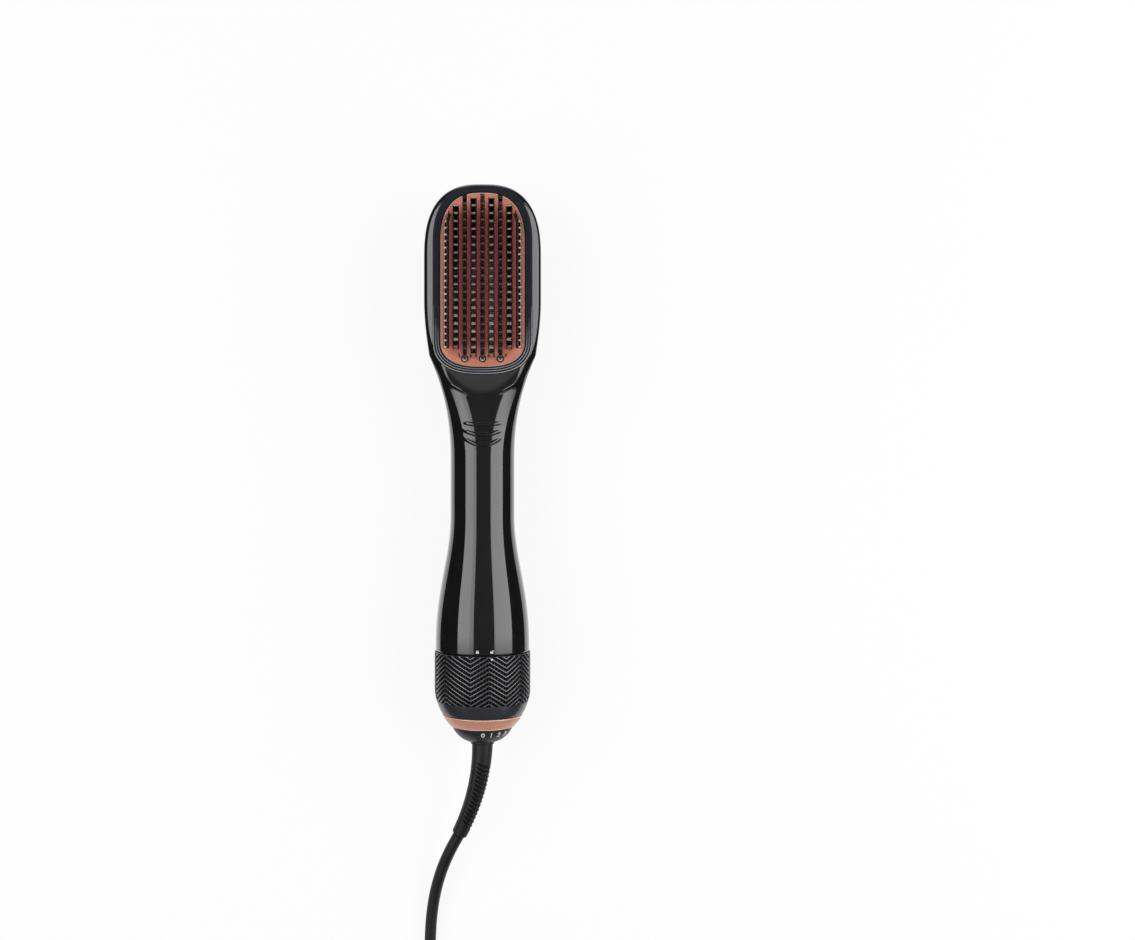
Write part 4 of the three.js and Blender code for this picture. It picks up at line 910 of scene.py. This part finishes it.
def make_plate_edge():
    """A fine bead round the edge of the copper face, in a lighter copper as a painted highlight."""
    flat = pad_outline(BORDER + 0.12, 72)
    line = np.column_stack([flat, np.full(len(flat), Z_PLATE - 0.06)])
    rings = swept(np.vstack([line, line[:1]]), np.full(len(line) + 1, 0.26), 10)
    rings[0] = (rings[0] + rings[-1]) / 2
    add_piece("plate_edge", looped_rings(rings[:-1]), painted_highlight_copper, "copper_plate", "heat_plate", angle=60,
              weld=0.001)


make_bezel()
make_rim_lines()
make_crease_lines()
make_plate_edge()

# Columns of the pad: each is its x with its first and last row.

Y_ROWS = Y_PAD_LOW + BORDER
INNER_LOW_MARGIN = 8.6
OUTER_LOW_MARGIN = 12.8


def row_y(k):
    return Y_ROWS + k * ROW_PITCH


def column_rows(x, low_margin, half_width):
    """First and last row that fit in the pad at x."""
    low, high = pad_ends(abs(x) + half_width, BORDER + LIP)
    low = max(Y_ROWS + low_margin, low + ROW_PITCH / 2)
    return math.ceil((low - Y_ROWS) / ROW_PITCH), math.floor((high - ROW_PITCH / 2 - Y_ROWS) / ROW_PITCH)


PIN_COLUMNS = [(x * COLUMN_PITCH, 1, column_rows(x * COLUMN_PITCH, 0, 1.2)[1]) for x in (-2, 0, 2)]
INNER_LADDER = column_rows(COLUMN_PITCH, INNER_LOW_MARGIN, 2.2)
OUTER_LADDER = (column_rows(3 * COLUMN_PITCH, OUTER_LOW_MARGIN, 2.2)[0], INNER_LADDER[1] - 1)
LADDERS = [(x * COLUMN_PITCH, *(INNER_LADDER if abs(x) == 1 else OUTER_LADDER)) for x in (-3, -1, 1, 3)]
PIN_SLOT = 2.5
LADDER_SLOT = 3.7
CORNER_ROUND = 0.5
WINDOW_WIDTH = 2.8
WINDOW_LENGTH = 2.9
WINDOW_GROWTH = 0.6

# Side rows, which curve in at their ends.
SIDE_SLOT = 3.6
SIDE_X = SIDE_COLUMN + 0.55
SIDE_INSET = 2.2
SIDE_LOW = row_y(column_rows(SIDE_COLUMN, OUTER_LOW_MARGIN, 1.7)[0] - 0.5) - 0.8
SIDE_HIGH = 144.0
SIDE_TOOTH_PITCH = 3.8
SIDE_PLAY = 0.2


def rounded_slot(x, width, low, high):
    """Outline of a slot along the head with rounded corners."""
    left, right = x - width / 2 + CORNER_ROUND, x + width / 2 - CORNER_ROUND
    low, high = low + CORNER_ROUND, high - CORNER_ROUND
    return [(cx + CORNER_ROUND * math.cos(turn), cy + CORNER_ROUND * math.sin(turn))
            for cx, cy, start in ((right, low, -90), (right, high, 0), (left, high, 90), (left, low, 180))
            for turn in np.radians(start + 22.5 * np.arange(5))]


def side_middle(y):
    """Distance of the side rows' middle from the centre line at y."""
    inset = BORDER + SIDE_INSET
    half, low, high = PAD_HALF - inset, PAD_LOW_ROUND - inset, PAD_TIP_ROUND - inset
    t = max((Y_PAD_LOW + inset + low - y) / low, (y - (Y_PAD_HIGH - inset - high)) / high, 0.0)
    return min(SIDE_X, half * max(0.0, 1 - min(1.0, t) ** PAD_POWER) ** (1 / PAD_POWER))


def side_half(y):
    """Half the width of the side slots, which narrow at their upper ends."""
    return SIDE_SLOT / 2 - 0.5 * smooth((y - 136.0) / 8.0)


def side_line(low, high):
    """Points about a millimetre apart along the middle of the right-hand side row."""
    return np.array([(side_middle(y), y) for y in np.linspace(low, high, round(high - low) + 1)])


def make_plate():
    plate = add_piece("copper_face", prism(pad_outline(BORDER, 40), Z_PLATE_LOW, Z_PLATE), copper_plate,
                      "copper_plate", "heat_plate", angle=32)
    outlines = [rounded_slot(x, PIN_SLOT, row_y(first + 0.5), Y_PAD_HIGH) for x, first, _ in PIN_COLUMNS]
    outlines += [rounded_slot(x, LADDER_SLOT, row_y(first - 0.5), row_y(last + 0.5))
                 for x, first, last in LADDERS]
    line = side_line(SIDE_LOW, SIDE_HIGH)
    half = np.column_stack([side_half(line[:, 1]), np.zeros(len(line))])
    right_side = np.vstack([line + half, (line - half)[::-1]])
    outlines += [(right_side * (-1, 1))[::-1], right_side]
    cut_by(plate, joined(prism(outline, Z_PLATE_LOW - 1, Z_PLATE + 1) for outline in outlines))
    applied(plate, "BEVEL", width=0.22 * MM, segments=3, limit_method="ANGLE", angle_limit=math.radians(50))
    shade(plate.data, 35)


def strands(roots, profile, sides, lean, seed):
    """Round strands with the given (height, radius) profile on each root (x, y), each leaning a little."""
    rng = np.random.default_rng(seed)
    z, radius = np.asarray(profile, float).T[..., None]
    along = ((z - z[0]) / (z[-1] - z[0])) ** 2
    shapes = []
    for x, y in roots:
        tilt_x, tilt_y = rng.uniform(-lean, lean, 2)
        shapes.append(closed_rings(upright(x + tilt_x * along, y + tilt_y * along, radius, z, sides)))
    return joined(shapes)


def make_pins():
    """Thick ball-tipped pins, with the bars that they stand on."""
    tip = Z_COMB + 14.6
    ball = 1.25
    profile = [(Z_COMB - 0.4, 1.05), (Z_COMB + 0.25, 0.95), (Z_COMB + 0.9, 0.78),
               (tip - 2 * ball - 0.3, 0.62)]
    turns = np.radians(160 - 22.5 * np.arange(1, 8))
    profile += [(tip - ball + ball * math.cos(t), ball * math.sin(t)) for t in turns if math.sin(t) > 0.04]
    roots = [(x, row_y(k)) for x, first, last in PIN_COLUMNS for k in range(first, last + 1)]
    half = (PIN_SLOT - 0.5) / 2
    bars = [(x - half, x + half, row_y(first + 0.5) + 0.3, row_y(last + 0.5) - 0.3, Z_COMB - 3.0, Z_COMB)
            for x, first, last in PIN_COLUMNS]
    shape = joined([strands(roots, [*profile, (tip, 0.08)], 16, 0.12, seed=4), boxes(bars, 0.25)])
    add_piece("ball_pins", shape, nylon_black, "satin_black", "pin_comb")


def make_bezel_tabs():
    """Tabs of the bezel that reach into the upper ends of the outer pin slots."""
    x = PIN_COLUMNS[-1][0]
    half = PIN_SLOT / 2 + 0.05
    high = pad_ends(x, BORDER)[1] + 1.0
    right = boxes([(x - half, x + half, high - 3.1, high, Z_PLATE - 1.2, Z_PLATE + 0.4)], 0.25)
    add_piece("bezel_tabs", both_sides(right), bezel_black, "bezel_black", "head_bezel", angle=50)


def make_eyelets():
    """A black collar round the root of the lowest pin of each row, with a flat light ring in it as a painted
    highlight.
    """
    collar = [(2.15, -0.3), (2.15, 0.25), (1.95, 0.45), (1.55, 0.45), (1.35, 0.25), (1.35, -0.3)]
    # Painted highlight: a light ring that stands for the highlight on the lowest pin's ball.
    highlight_ring_profile = [(1.4, -0.2), (1.4, 0.12), (1.2, 0.2), (0.7, 0.2), (0.7, -0.2)]
    for name, profile, material in (("pin_collars", collar, nylon_black),
                                    ("pin_highlight_rings", highlight_ring_profile, vent_cream)):
        radius, z = np.array(profile).T[..., None]
        shapes = [looped_rings(upright(x, row_y(first), radius, Z_PLATE + z, 32))
                  for x, first, _ in PIN_COLUMNS]
        add_piece(name, joined(shapes), material, "satin_black", "pin_comb", weld=0.001)


def window_half(k):
    """Half the length of the air window in row k; the bars between them thin out towards the tip."""
    return (WINDOW_LENGTH + WINDOW_GROWTH * smooth((k - 5) / 9)) / 2


def make_ladders():
    """The crossbars between the air windows, in a light finish, with thin rails beside them."""
    bars, rails = [], []
    inner, outer = WINDOW_WIDTH / 2, LADDER_SLOT / 2 - 0.12
    for x, first, last in LADDERS:
        low, high = row_y(first - 0.5), row_y(last + 0.5)
        middles = [(row_y(k) - window_half(k), row_y(k) + window_half(k)) for k in range(first, last + 1)]
        edges = [low, *np.ravel(middles), high]
        bars += [(x - inner - 0.2, x + inner + 0.2, y0 + 0.05, y1 - 0.05, Z_COMB - 1.6, Z_COMB + 0.1)
                 for y0, y1 in zip(edges[::2], edges[1::2])]
        rails += [(x + x0, x + x1, low + 0.2, high - 0.2, Z_COMB - 2.6, Z_COMB - 0.1)
                  for x0, x1 in ((-outer, -inner), (inner, outer))]
    add_piece("vent_bars", boxes(bars, 0.3), vent_cream, "satin_black", "bristle_lattice", angle=50)
    add_piece("vent_rails", boxes(rails, 0.08), nylon_black, "satin_black", "bristle_lattice", angle=50)


# Single bristles that stand in the copper face below the ladders: x on either side, and y.
EXTRA_ROOTS = [(3.7, 61.9), (6.6, 61.9), (13.4, 62.2), (13.9, 66.8), (16.8, 66.8)]


def make_bristles():
    z0, z1 = Z_COMB - 0.6, Z_COMB + 13.6
    profile = [(z0, 0.42), (z0 + 1.2, 0.4), (z0 + 6, 0.34), (z1 - 1.2, 0.27), (z1 - 0.35, 0.22), (z1, 0.08)]
    thick = [(z, r * 1.5) for z, r in profile]
    roots = [(x + side * 1.42, row_y(k + 0.5)) for x, first, last in LADDERS for k in range(first, last)
             for side in (-1, 1)]
    rows = np.arange(SIDE_LOW + 0.9 + SIDE_TOOTH_PITCH / 4, SIDE_HIGH - 1.0, SIDE_TOOTH_PITCH / 2)
    right = [(side_middle(y) - 0.55 * (side_half(y) - SIDE_PLAY), y) for y in rows]
    side_roots = [(sign * x, y) for part in (right, EXTRA_ROOTS) for sign in (-1, 1) for x, y in part]
    shape = joined([strands(roots, profile, 8, 0.35, seed=9), strands(side_roots, thick, 8, 0.3, seed=11)])
    add_piece("thin_bristles", shape, nylon_black, "satin_black", "bristle_lattice", angle=50)


def make_side_bars():
    """The side rows' backing: a light rail along the outside and a black one within, both curved."""
    for name, material, inner, outer in (("side_strips", side_pink, 0.62, 1.0),
                                         ("side_rails", nylon_black, -1.0, -0.1)):
        rings = []
        for x, y in side_line(SIDE_LOW + 0.3, SIDE_HIGH - 0.3):
            low, high = (x + share * (side_half(y) - SIDE_PLAY) for share in (inner, outer))
            rings.append([(low, y, Z_COMB - 2.6), (low, y, Z_COMB - 0.15), (low + 0.12, y, Z_COMB),
                          (high - 0.12, y, Z_COMB), (high, y, Z_COMB - 0.15), (high, y, Z_COMB - 2.6)])
        right = closed_rings(np.array(rings))
        add_piece(name, both_sides(right), material, "satin_black", "bristle_lattice")


def make_side_teeth():
    """Short light crossbars from the outer rail of each side row in to its black rail."""
    parts = []
    for y in np.arange(SIDE_LOW + 0.9, SIDE_HIGH - 0.8, SIDE_TOOTH_PITCH):
        x, half = side_middle(y), side_half(y) - SIDE_PLAY
        parts.append((x - 0.1 * half, x + 0.7 * half, y - 0.5, y + 0.5, Z_COMB - 2.0, Z_COMB - 0.02))
    add_piece("side_teeth", both_sides(boxes(parts, 0.12)), side_pink, "satin_black", "bristle_lattice")


make_plate()
make_pins()
make_bezel_tabs()
make_eyelets()
make_ladders()
make_bristles()
make_side_bars()
make_side_teeth()

# Filter sleeve with a herringbone grip of ridges, broken by holes in the grooves between them.

SLEEVE_RADIUS = 28.2
# Distance from the sleeve's lower end and radius there.
SLEEVE_TAPER = ((0, 1.4, 3.0, 5.2, 7.4, 9.8, 12.2, 14.7),
                (23.6, 24.5, 25.3, 26.2, 26.95, 27.65, 28.05, SLEEVE_RADIUS))
SLEEVE_HIGH = Y_BODY - 0.4
GRIP_LOW = Y_FILTER + 7.8
GRIP_HIGH = SLEEVE_HIGH - 0.35
GRIP_RADIUS = 27.5
GROOVE_DEPTH = 0.95
RIDGE_PITCH = 2.65
CREST_HALF = 0.68
CREST_FLANK = 0.36
HOLE_PITCH = 1.6
HOLE_DEPTH = 1.1
HOLE_RADIUS = 0.62
HOLE_FLANK = 0.16
STRETCHES = 16
WIDE_STRETCH = 36.0
FIRST_TURN = -50.0
CHEVRON_RISE = 6.5
SLANT_SHARE = 0.87


def sleeve_radius(y):
    return np.interp(y - Y_FILTER, *SLEEVE_TAPER)


def grip_share(y):
    """1 in the grip and 0 on the plain ends of the sleeve."""
    return smooth((y - GRIP_LOW) / 0.5) * smooth((GRIP_HIGH - y) / 0.5)


def grip_depth(turn, y):
    """Depth of the grip's relief: the ridges zigzag round the sleeve in stretches."""
    narrow = (360 - WIDE_STRETCH) / (STRETCHES - 1)
    knots = np.concatenate([[0, WIDE_STRETCH], WIDE_STRETCH + narrow * np.arange(1, STRETCHES)])
    steps = [-(CHEVRON_RISE + RIDGE_PITCH)] + [CHEVRON_RISE if i % 2 else -CHEVRON_RISE
                                               for i in range(1, STRETCHES)]
    local = (np.degrees(turn) - FIRST_TURN) % 360
    height = np.interp(local, knots, np.concatenate([[0], np.cumsum(steps)]))
    stretch = np.clip(np.searchsorted(knots, local, side="right") - 1, 0, STRETCHES - 1)
    width = np.diff(knots)[stretch]
    holes = np.round(np.radians(width) * GRIP_RADIUS / HOLE_PITCH)
    along = (local - knots[stretch]) / width * holes
    away = np.abs((y - height) / RIDGE_PITCH % 1.0 - 0.5) * RIDGE_PITCH
    crest = smooth((CREST_HALF - away) / CREST_FLANK)
    hole_along = (along % 1.0 - 0.5) * np.radians(width) * GRIP_RADIUS / holes
    hole_across = (RIDGE_PITCH / 2 - away) * SLANT_SHARE
    hole = smooth((HOLE_RADIUS - np.hypot(hole_along, hole_across)) / HOLE_FLANK)
    return grip_share(y) * (GROOVE_DEPTH * (1 - crest) + HOLE_DEPTH * hole)


def add_attribute(mesh, name, values):
    mesh.attributes.new(name, "FLOAT", "POINT").data.foreach_set("value", values.astype(np.float32))


def make_sleeve():
    across = 800
    stations = np.concatenate([
        np.linspace(Y_FILTER, GRIP_LOW, 26)[:-1], np.arange(GRIP_LOW, GRIP_HIGH, 0.19),
        np.linspace(GRIP_HIGH, SLEEVE_HIGH, 8)])
    turn, y = np.meshgrid(circle(across), stations)
    edge = np.clip((y - (SLEEVE_HIGH - 0.5)) / 0.5, 0, 1)
    outer = about_axis(sleeve_radius(y) - grip_depth(turn, y) - 0.35 * edge ** 2, y, turn)
    inner = [about_axis(r, v, circle(across)) for r, v in (
        (25.8, SLEEVE_HIGH), (25.8, Y_FILTER + 12.2), (24.6, Y_FILTER + 7.4), (22.6, Y_FILTER + 2.8),
        (21.8, Y_FILTER))]
    mesh = mesh_of("herringbone_sleeve", looped_rings(np.vstack([outer, inner])), 50, weld=0.001)
    places = np.empty(len(mesh.vertices) * 3, np.float32)
    mesh.vertices.foreach_get("co", places)
    x, y, z = places.reshape(-1, 3).T / MM
    depth = sleeve_radius(y) - np.hypot(x, z - Z_AXIS)
    # Attributes for the sleeve's colour: groove depth for its painted shade, ridge crests for its painted
    # highlight.
    add_attribute(mesh, "groove", np.clip(depth, 0, 3))
    add_attribute(mesh, "ridge", grip_share(y) * np.clip(1 - depth / 0.3, 0, 1))
    link("herringbone_sleeve", mesh, sleeve_black, "filter_grip", ["filter_sleeve"])


# Trim ring and dial.

DIAL_RADIUS = 17.8
DIAL_END = 8.3
DOME_POWER = 1.5


def make_trim():
    t = np.linspace(0, 1, 14)
    bowed = zip(18.95 + 4.35 * t + 0.55 * np.sin(np.pi * t), Y_TRIM + 0.25 + (TRIM_LENGTH - 1.0) * t)
    end = Y_FILTER - 0.3
    profile = [(18.2, Y_TRIM + 1.4), (18.2, Y_TRIM + 0.2), (18.35, Y_TRIM), (18.6, Y_TRIM), *bowed,
               (23.5, end - 0.2), (23.45, end - 0.02), (23.2, end), (21.6, end)]
    add_piece("copper_ring", lathe(profile, 160), copper_trim, "copper_trim", "trim_ring",
              body="filter_grip", angle=28, weld=0.002)


def make_trim_edge():
    """Beads on both edges of the copper ring, in a lighter copper as painted highlights."""
    turn = circle(12)
    shapes = [lathe(np.column_stack([radius + bead * np.cos(turn), y + bead * np.sin(turn)]), 160)
              for radius, y, bead in ((23.42, Y_FILTER - 0.55, 0.3), (19.0, Y_TRIM + 0.3, 0.2))]
    add_piece("copper_ring_edges", joined(shapes), painted_highlight_copper, "copper_trim", "trim_ring",
              body="filter_grip", angle=60, weld=0.001)


def dome_point(t):
    """Radius and y of the dome at t, from 0 at its rim to 1 at the cord."""
    share = max(0.0, 1 - t ** DOME_POWER) ** (1 / DOME_POWER)
    return DIAL_END + (DIAL_RADIUS - DIAL_END) * share, Y_TRIM - DIAL_LENGTH * t


def make_dial():
    profile = [(7.4, Y_TAIL + 0.15), (7.6, Y_TAIL), (8.1, Y_TAIL)]
    profile += [dome_point(1 - i / 40) for i in range(1, 41)]
    profile += [(DIAL_RADIUS, Y_TRIM + 0.6), (9.4, Y_TRIM + 0.6), (9.4, Y_TAIL + 1.6), (7.4, Y_TAIL + 1.6)]
    add_piece("dial_dome", lathe(profile, 128), satin_black, "satin_black", "selector_dial", body="selector",
              angle=35, weld=0.002)


make_sleeve()
make_trim()
make_trim_edge()
make_dial()

# Printed marks: numbers on the dial, lock signs on the shell and a dot on the sleeve.

NUMBER_SIZE = 4.6
NUMBER_T = 0.36
NUMBER_STEP = 17
LOCK_TURNS = (-6, 11)
DOT_Y = -2.1


def text_mesh(text, size):
    """Outline of a character as flat points (x, y) in millimetres, centred, and its faces."""
    data = bpy.data.curves.new("mark_text", "FONT")
    data.body = text
    data.size = size
    data.align_x = "CENTER"
    data.align_y = "CENTER"
    data.resolution_u = 3
    data.offset = 0.02 * size
    holder = new_object("mark_text", data)
    work = bmesh.new()
    work.from_mesh(evaluated_mesh(holder))
    long = [e for e in work.edges if e.calc_length() > size * 0.18]
    bmesh.ops.subdivide_edges(work, edges=long, cuts=2)
    bmesh.ops.triangulate(work, faces=work.faces)
    work.verts.ensure_lookup_table()
    points = np.array([v.co[:2] for v in work.verts])
    faces = [[v.index for v in f.verts] for f in work.faces]
    work.free()
    bpy.data.objects.remove(holder)
    return points, faces


def raised_print(name, flats, place, body, slot, thickness=0.06):
    """Printed marks: flat shapes laid on a surface by place(u, v, lift), with a small thickness."""
    shapes = []
    for flat, parts in flats:
        n = len(flat)
        points = [place(u, v, lift) for lift in (-0.05, thickness) for u, v in flat]
        edges = {(a, b) for face in parts for a, b in zip(face, face[1:] + face[:1])}
        faces = [face[::-1] for face in parts] + [[n + i for i in face] for face in parts]
        faces += [[a, b, n + b, n + a] for a, b in sorted(edges) if (b, a) not in edges]
        shapes.append((points, faces))
    add_piece(name, joined(shapes), print_white, slot, body=body)


def make_numbers():
    """Plain numbers round the dome, one for each place of the dial."""
    radius, y_mid = dome_point(NUMBER_T)
    r_low, y_low = dome_point(NUMBER_T + 0.02)
    slope = math.atan2(radius - r_low, y_mid - y_low)
    flats = []
    for k in range(4):
        flat, faces = text_mesh(str(k), NUMBER_SIZE)
        flats.append((flat + (math.radians(1 + NUMBER_STEP * k) * radius, 0), faces))

    def on_dome(u, v, lift):
        r, y = dome_point(min(0.98, max(0.0, NUMBER_T - v / DIAL_LENGTH * math.cos(slope))))
        return about_axis(r + lift, y - lift * 0.3, u / radius)

    raised_print("dial_numbers", flats, on_dome, "selector", "satin_black", 0.12)


def ring_flat(cx, cy, outer, inner, sweep, steps):
    """A flat ring or arc about a point."""
    turns = np.radians(np.linspace(0, sweep, steps + 1))
    points = [(cx + r * math.cos(t), cy + r * math.sin(t)) for r in (outer, inner) for t in turns]
    n = steps + 1
    return np.array(points), [[i, i + 1, n + i + 1, n + i] for i in range(steps)]


def make_lock_marks():
    """Small plain shut and open padlocks on the shell, and a dot on the sleeve."""
    flats = []
    for turn, open_side in zip(LOCK_TURNS, (0.0, 0.7)):
        u = math.radians(turn) * REAR_RADIUS
        flats.append(([(u - 0.85, 1.3), (u + 0.85, 1.3), (u + 0.85, 2.5), (u - 0.85, 2.5)], [[0, 1, 2, 3]]))
        flats.append(ring_flat(u + open_side, 2.5, 0.62, 0.36, 180, 10))

    def on_shell(u, v, lift):
        y = Y_BODY + v
        return about_axis(outline_width(y) + lift, y, u / REAR_RADIUS)

    def on_sleeve(u, v, lift):
        return about_axis(SLEEVE_RADIUS + (lift if lift > 0 else -1.0), Y_BODY + v, u / SLEEVE_RADIUS)

    raised_print("lock_marks", flats, on_shell, "housing", "gloss_black")
    dot = ring_flat(math.radians(LOCK_TURNS[1]) * SLEEVE_RADIUS, DOT_Y, 0.62, 0.02, 360, 16)
    raised_print("sleeve_dot", [dot], on_sleeve, "filter_grip", "satin_black")


make_numbers()
make_lock_marks()

# CAD pieces that show as they are, with their finishes.

FINISHES = (
    (steel, ["heat_shield", "detent_spring", "clamp_screw_left", "clamp_screw_right", "motor_shaft",
             "motor_can", "heating_coil", "thermal_fuse"]),
    (grey_plastic, ["tail_frame", "cord_clamp", "impeller", "fan_duct", "end_bell"]),
    (brass, ["wiper_ring", "commutator", "rear_bush", "front_bush", "thermostat"]),
    (dark_iron, ["motor_armature", "magnet_left", "magnet_right"]),
    (carbon, ["brush_left", "brush_right"]),
    (board_green, ["switch_board", "rectifier_board"]),
    (mica, ["heater_tube", "mica_frame"]),
    (satin_black, ["filter_basket"]),
    (soft_black, ["inner_cable"]),
    (brown_wire, ["live_lead"]),
    (blue_wire, ["neutral_lead"]),
)
for finish, names in FINISHES:
    for name in names:
        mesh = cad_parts[name].data
        mesh.materials.clear()
        mesh.materials.append(finish)

# Stage, in metres: pale floor, soft lamps and a few dark cards that only mirror-like surfaces see.

FLOOR_HALF = 4.0
FLOOR_Z = -0.0003
FLOOR_GLOW = 0.88
WORLD_LIGHT = 0.22
WORLD_SEEN = 0.91
TARGET = np.array([0, -0.013, 0.03])
LAMP_DISTANCE = 1.1
# Each lamp's side, name, and the angles from straight up between which it stands.
LAMP_SPANS = ((-1, "lamp_left", 21.5, 62.0), (1, "lamp_right", 28.5, 76.0))
LAMP_RADIANCE = 2.5
LAMP_LENGTH = 1.7
CARD_NEAR = 0.08
CARD_FAR = 1.2
CARD_REACH = 2.0
END_CARD_Y = 1.45
TOP_CARD_Z = 1.75
NECK_CARD_Z = 0.35


def seen_share(tree):
    """1 for rays that show the background itself: from the camera, off gloss or through glass."""
    camera, glossy, through = (node(tree, "LightPath", output="Is " + ray + " Ray")
                               for ray in ("Camera", "Glossy", "Transmission"))
    return calc(tree, "MAXIMUM", calc(tree, "MAXIMUM", camera, glossy), through)


def flat_stage(name, corners, material):
    """A flat face that isn't part of the object."""
    mesh = bpy.data.meshes.new(name)
    mesh.from_pydata(corners, [], [tuple(range(len(corners)))])
    mesh.materials.append(material)
    made = new_object(name, mesh)
    return made


def make_floor():
    """A pale floor that can be seen through from below."""
    material, tree, shader = new_material("floor_white")
    patches = noise(tree, own_place(tree), 3.0, 2.0, 0.5)
    feed(tree, shader, {"Base Color": mixed(tree, patches, (0.80, 0.80, 0.80), (0.84, 0.84, 0.84)),
                        "Roughness": 0.9, "Specular IOR Level": 0.1})
    glow = node(tree, "Emission", {"Strength": 1.0})
    share = calc(tree, "MULTIPLY", seen_share(tree), FLOOR_GLOW)
    above = node(tree, "MixShader", {"Fac": share, 1: shader.outputs["BSDF"], 2: glow})
    below = node(tree, "NewGeometry", output="Backfacing")
    both = node(tree, "MixShader", {"Fac": below, 1: above, 2: node(tree, "BsdfTransparent")})
    feed(tree, tree.nodes["Material Output"], {"Surface": both})
    corners = [(x * FLOOR_HALF, y * FLOOR_HALF, 0) for x, y in ((-1, -1), (1, -1), (1, 1), (-1, 1))]
    flat_stage("floor", corners, material).location.z = FLOOR_Z


def make_world():
    world = bpy.data.worlds.new("studio")
    world.use_nodes = True
    bpy.context.scene.world = world
    tree = world.node_tree
    level = ramp(tree, seen_share(tree), 0.0, 1.0, WORLD_LIGHT, WORLD_SEEN)
    feed(tree, tree.nodes["Background"], {"Color": (1, 1, 1, 1), "Strength": level})


def lamp(name, place, tilt, width):
    """A soft rectangular lamp, tilted about the handle axis."""
    data = bpy.data.lights.new(name, "AREA")
    data.shape = "RECTANGLE"
    data.size = width
    data.size_y = LAMP_LENGTH
    data.energy = LAMP_RADIANCE * math.pi * width * LAMP_LENGTH
    light = new_object(name, data)
    light.location = place
    light.rotation_euler = (0, tilt, 0)
    light.visible_camera = False


def card(name, corners, radiance, fade=None, veil=None):
    """A plain card of even brightness that only glossy rays see, as a studio flag.

    With fade, its brightness starts at the first number and reaches radiance between two places in y.
    With veil, it covers by the first number at its low end and clears between two places in y.
    """
    material, tree, shader = new_material(name)
    tree.nodes.remove(shader)

    def along(first, start, end, last):
        y = node(tree, "SeparateXYZ", {"Vector": own_place(tree)}, "Y")
        return ramp(tree, y, start, end, first, last, soft=True)

    shown = node(tree, "Emission", {"Strength": along(*fade, radiance) if fade else radiance})
    if veil:
        clear = node(tree, "BsdfTransparent")
        shown = node(tree, "MixShader", {"Fac": along(*veil, 0.0), 1: clear, 2: shown})
    feed(tree, tree.nodes["Material Output"], {"Surface": shown})
    flag = flat_stage(name, corners, material)
    for kind in ("camera", "diffuse", "transmission", "volume_scatter", "shadow"):
        setattr(flag, "visible_" + kind, False)


def level_card(name, x0, x1, y0, y1, z, radiance, **slopes):
    """A card that lies level at height z."""
    card(name, [(x0, y0, z), (x1, y0, z), (x1, y1, z), (x0, y1, z)], radiance, **slopes)


def make_studio():
    make_floor()
    make_world()
    for side, name, low, high in LAMP_SPANS:
        middle = math.radians((low + high) / 2)
        width = 2 * LAMP_DISTANCE * math.tan(math.radians(high - low) / 2)
        out = np.array([side * math.sin(middle), 0, math.cos(middle)])
        lamp(name, TARGET + out * LAMP_DISTANCE, side * middle, width)
        across = np.array([math.cos(middle), 0, -side * math.sin(middle)]) * (width / 2 + 0.02)
        centre = TARGET + out * (LAMP_DISTANCE - 0.05)
        corners = [centre + across * s + (0, y - TARGET[1], 0)
                   for s, y in ((-1, -0.95), (1, -0.95), (1, -0.1), (-1, -0.1))]
        card("veil_" + name, corners, 0.1, veil=(0.75, -0.36, -0.12))
        far = side * CARD_FAR
        edge = CARD_FAR / math.tan(math.radians(high)) + 0.03
        level_card("floor_card_" + name, side * CARD_NEAR, far, -CARD_REACH, CARD_REACH, 0.0004, 0.03)
        card("side_card_" + name, [(far, -CARD_REACH, 0), (far, CARD_REACH, 0), (far, CARD_REACH, edge),
                                   (far, -CARD_REACH, edge)], 0.04)
    for y, name in ((-END_CARD_Y, "end_card_front"), (END_CARD_Y, "end_card_rear")):
        card(name, [(-1.3, y, 0), (1.3, y, 0), (1.3, y, 1.8), (-1.3, y, 1.8)], 0.1)
    level_card("top_card", -1.05, 1.05, -1.5, 1.5, TOP_CARD_Z, 0.16)
    level_card("neck_card", -0.115, 0.15, 0.0455, 0.17, NECK_CARD_Z, 0.6, fade=(0.16, 0.0467, 0.0517))


make_studio()

bpy.context.scene.view_settings.view_transform = "Standard"
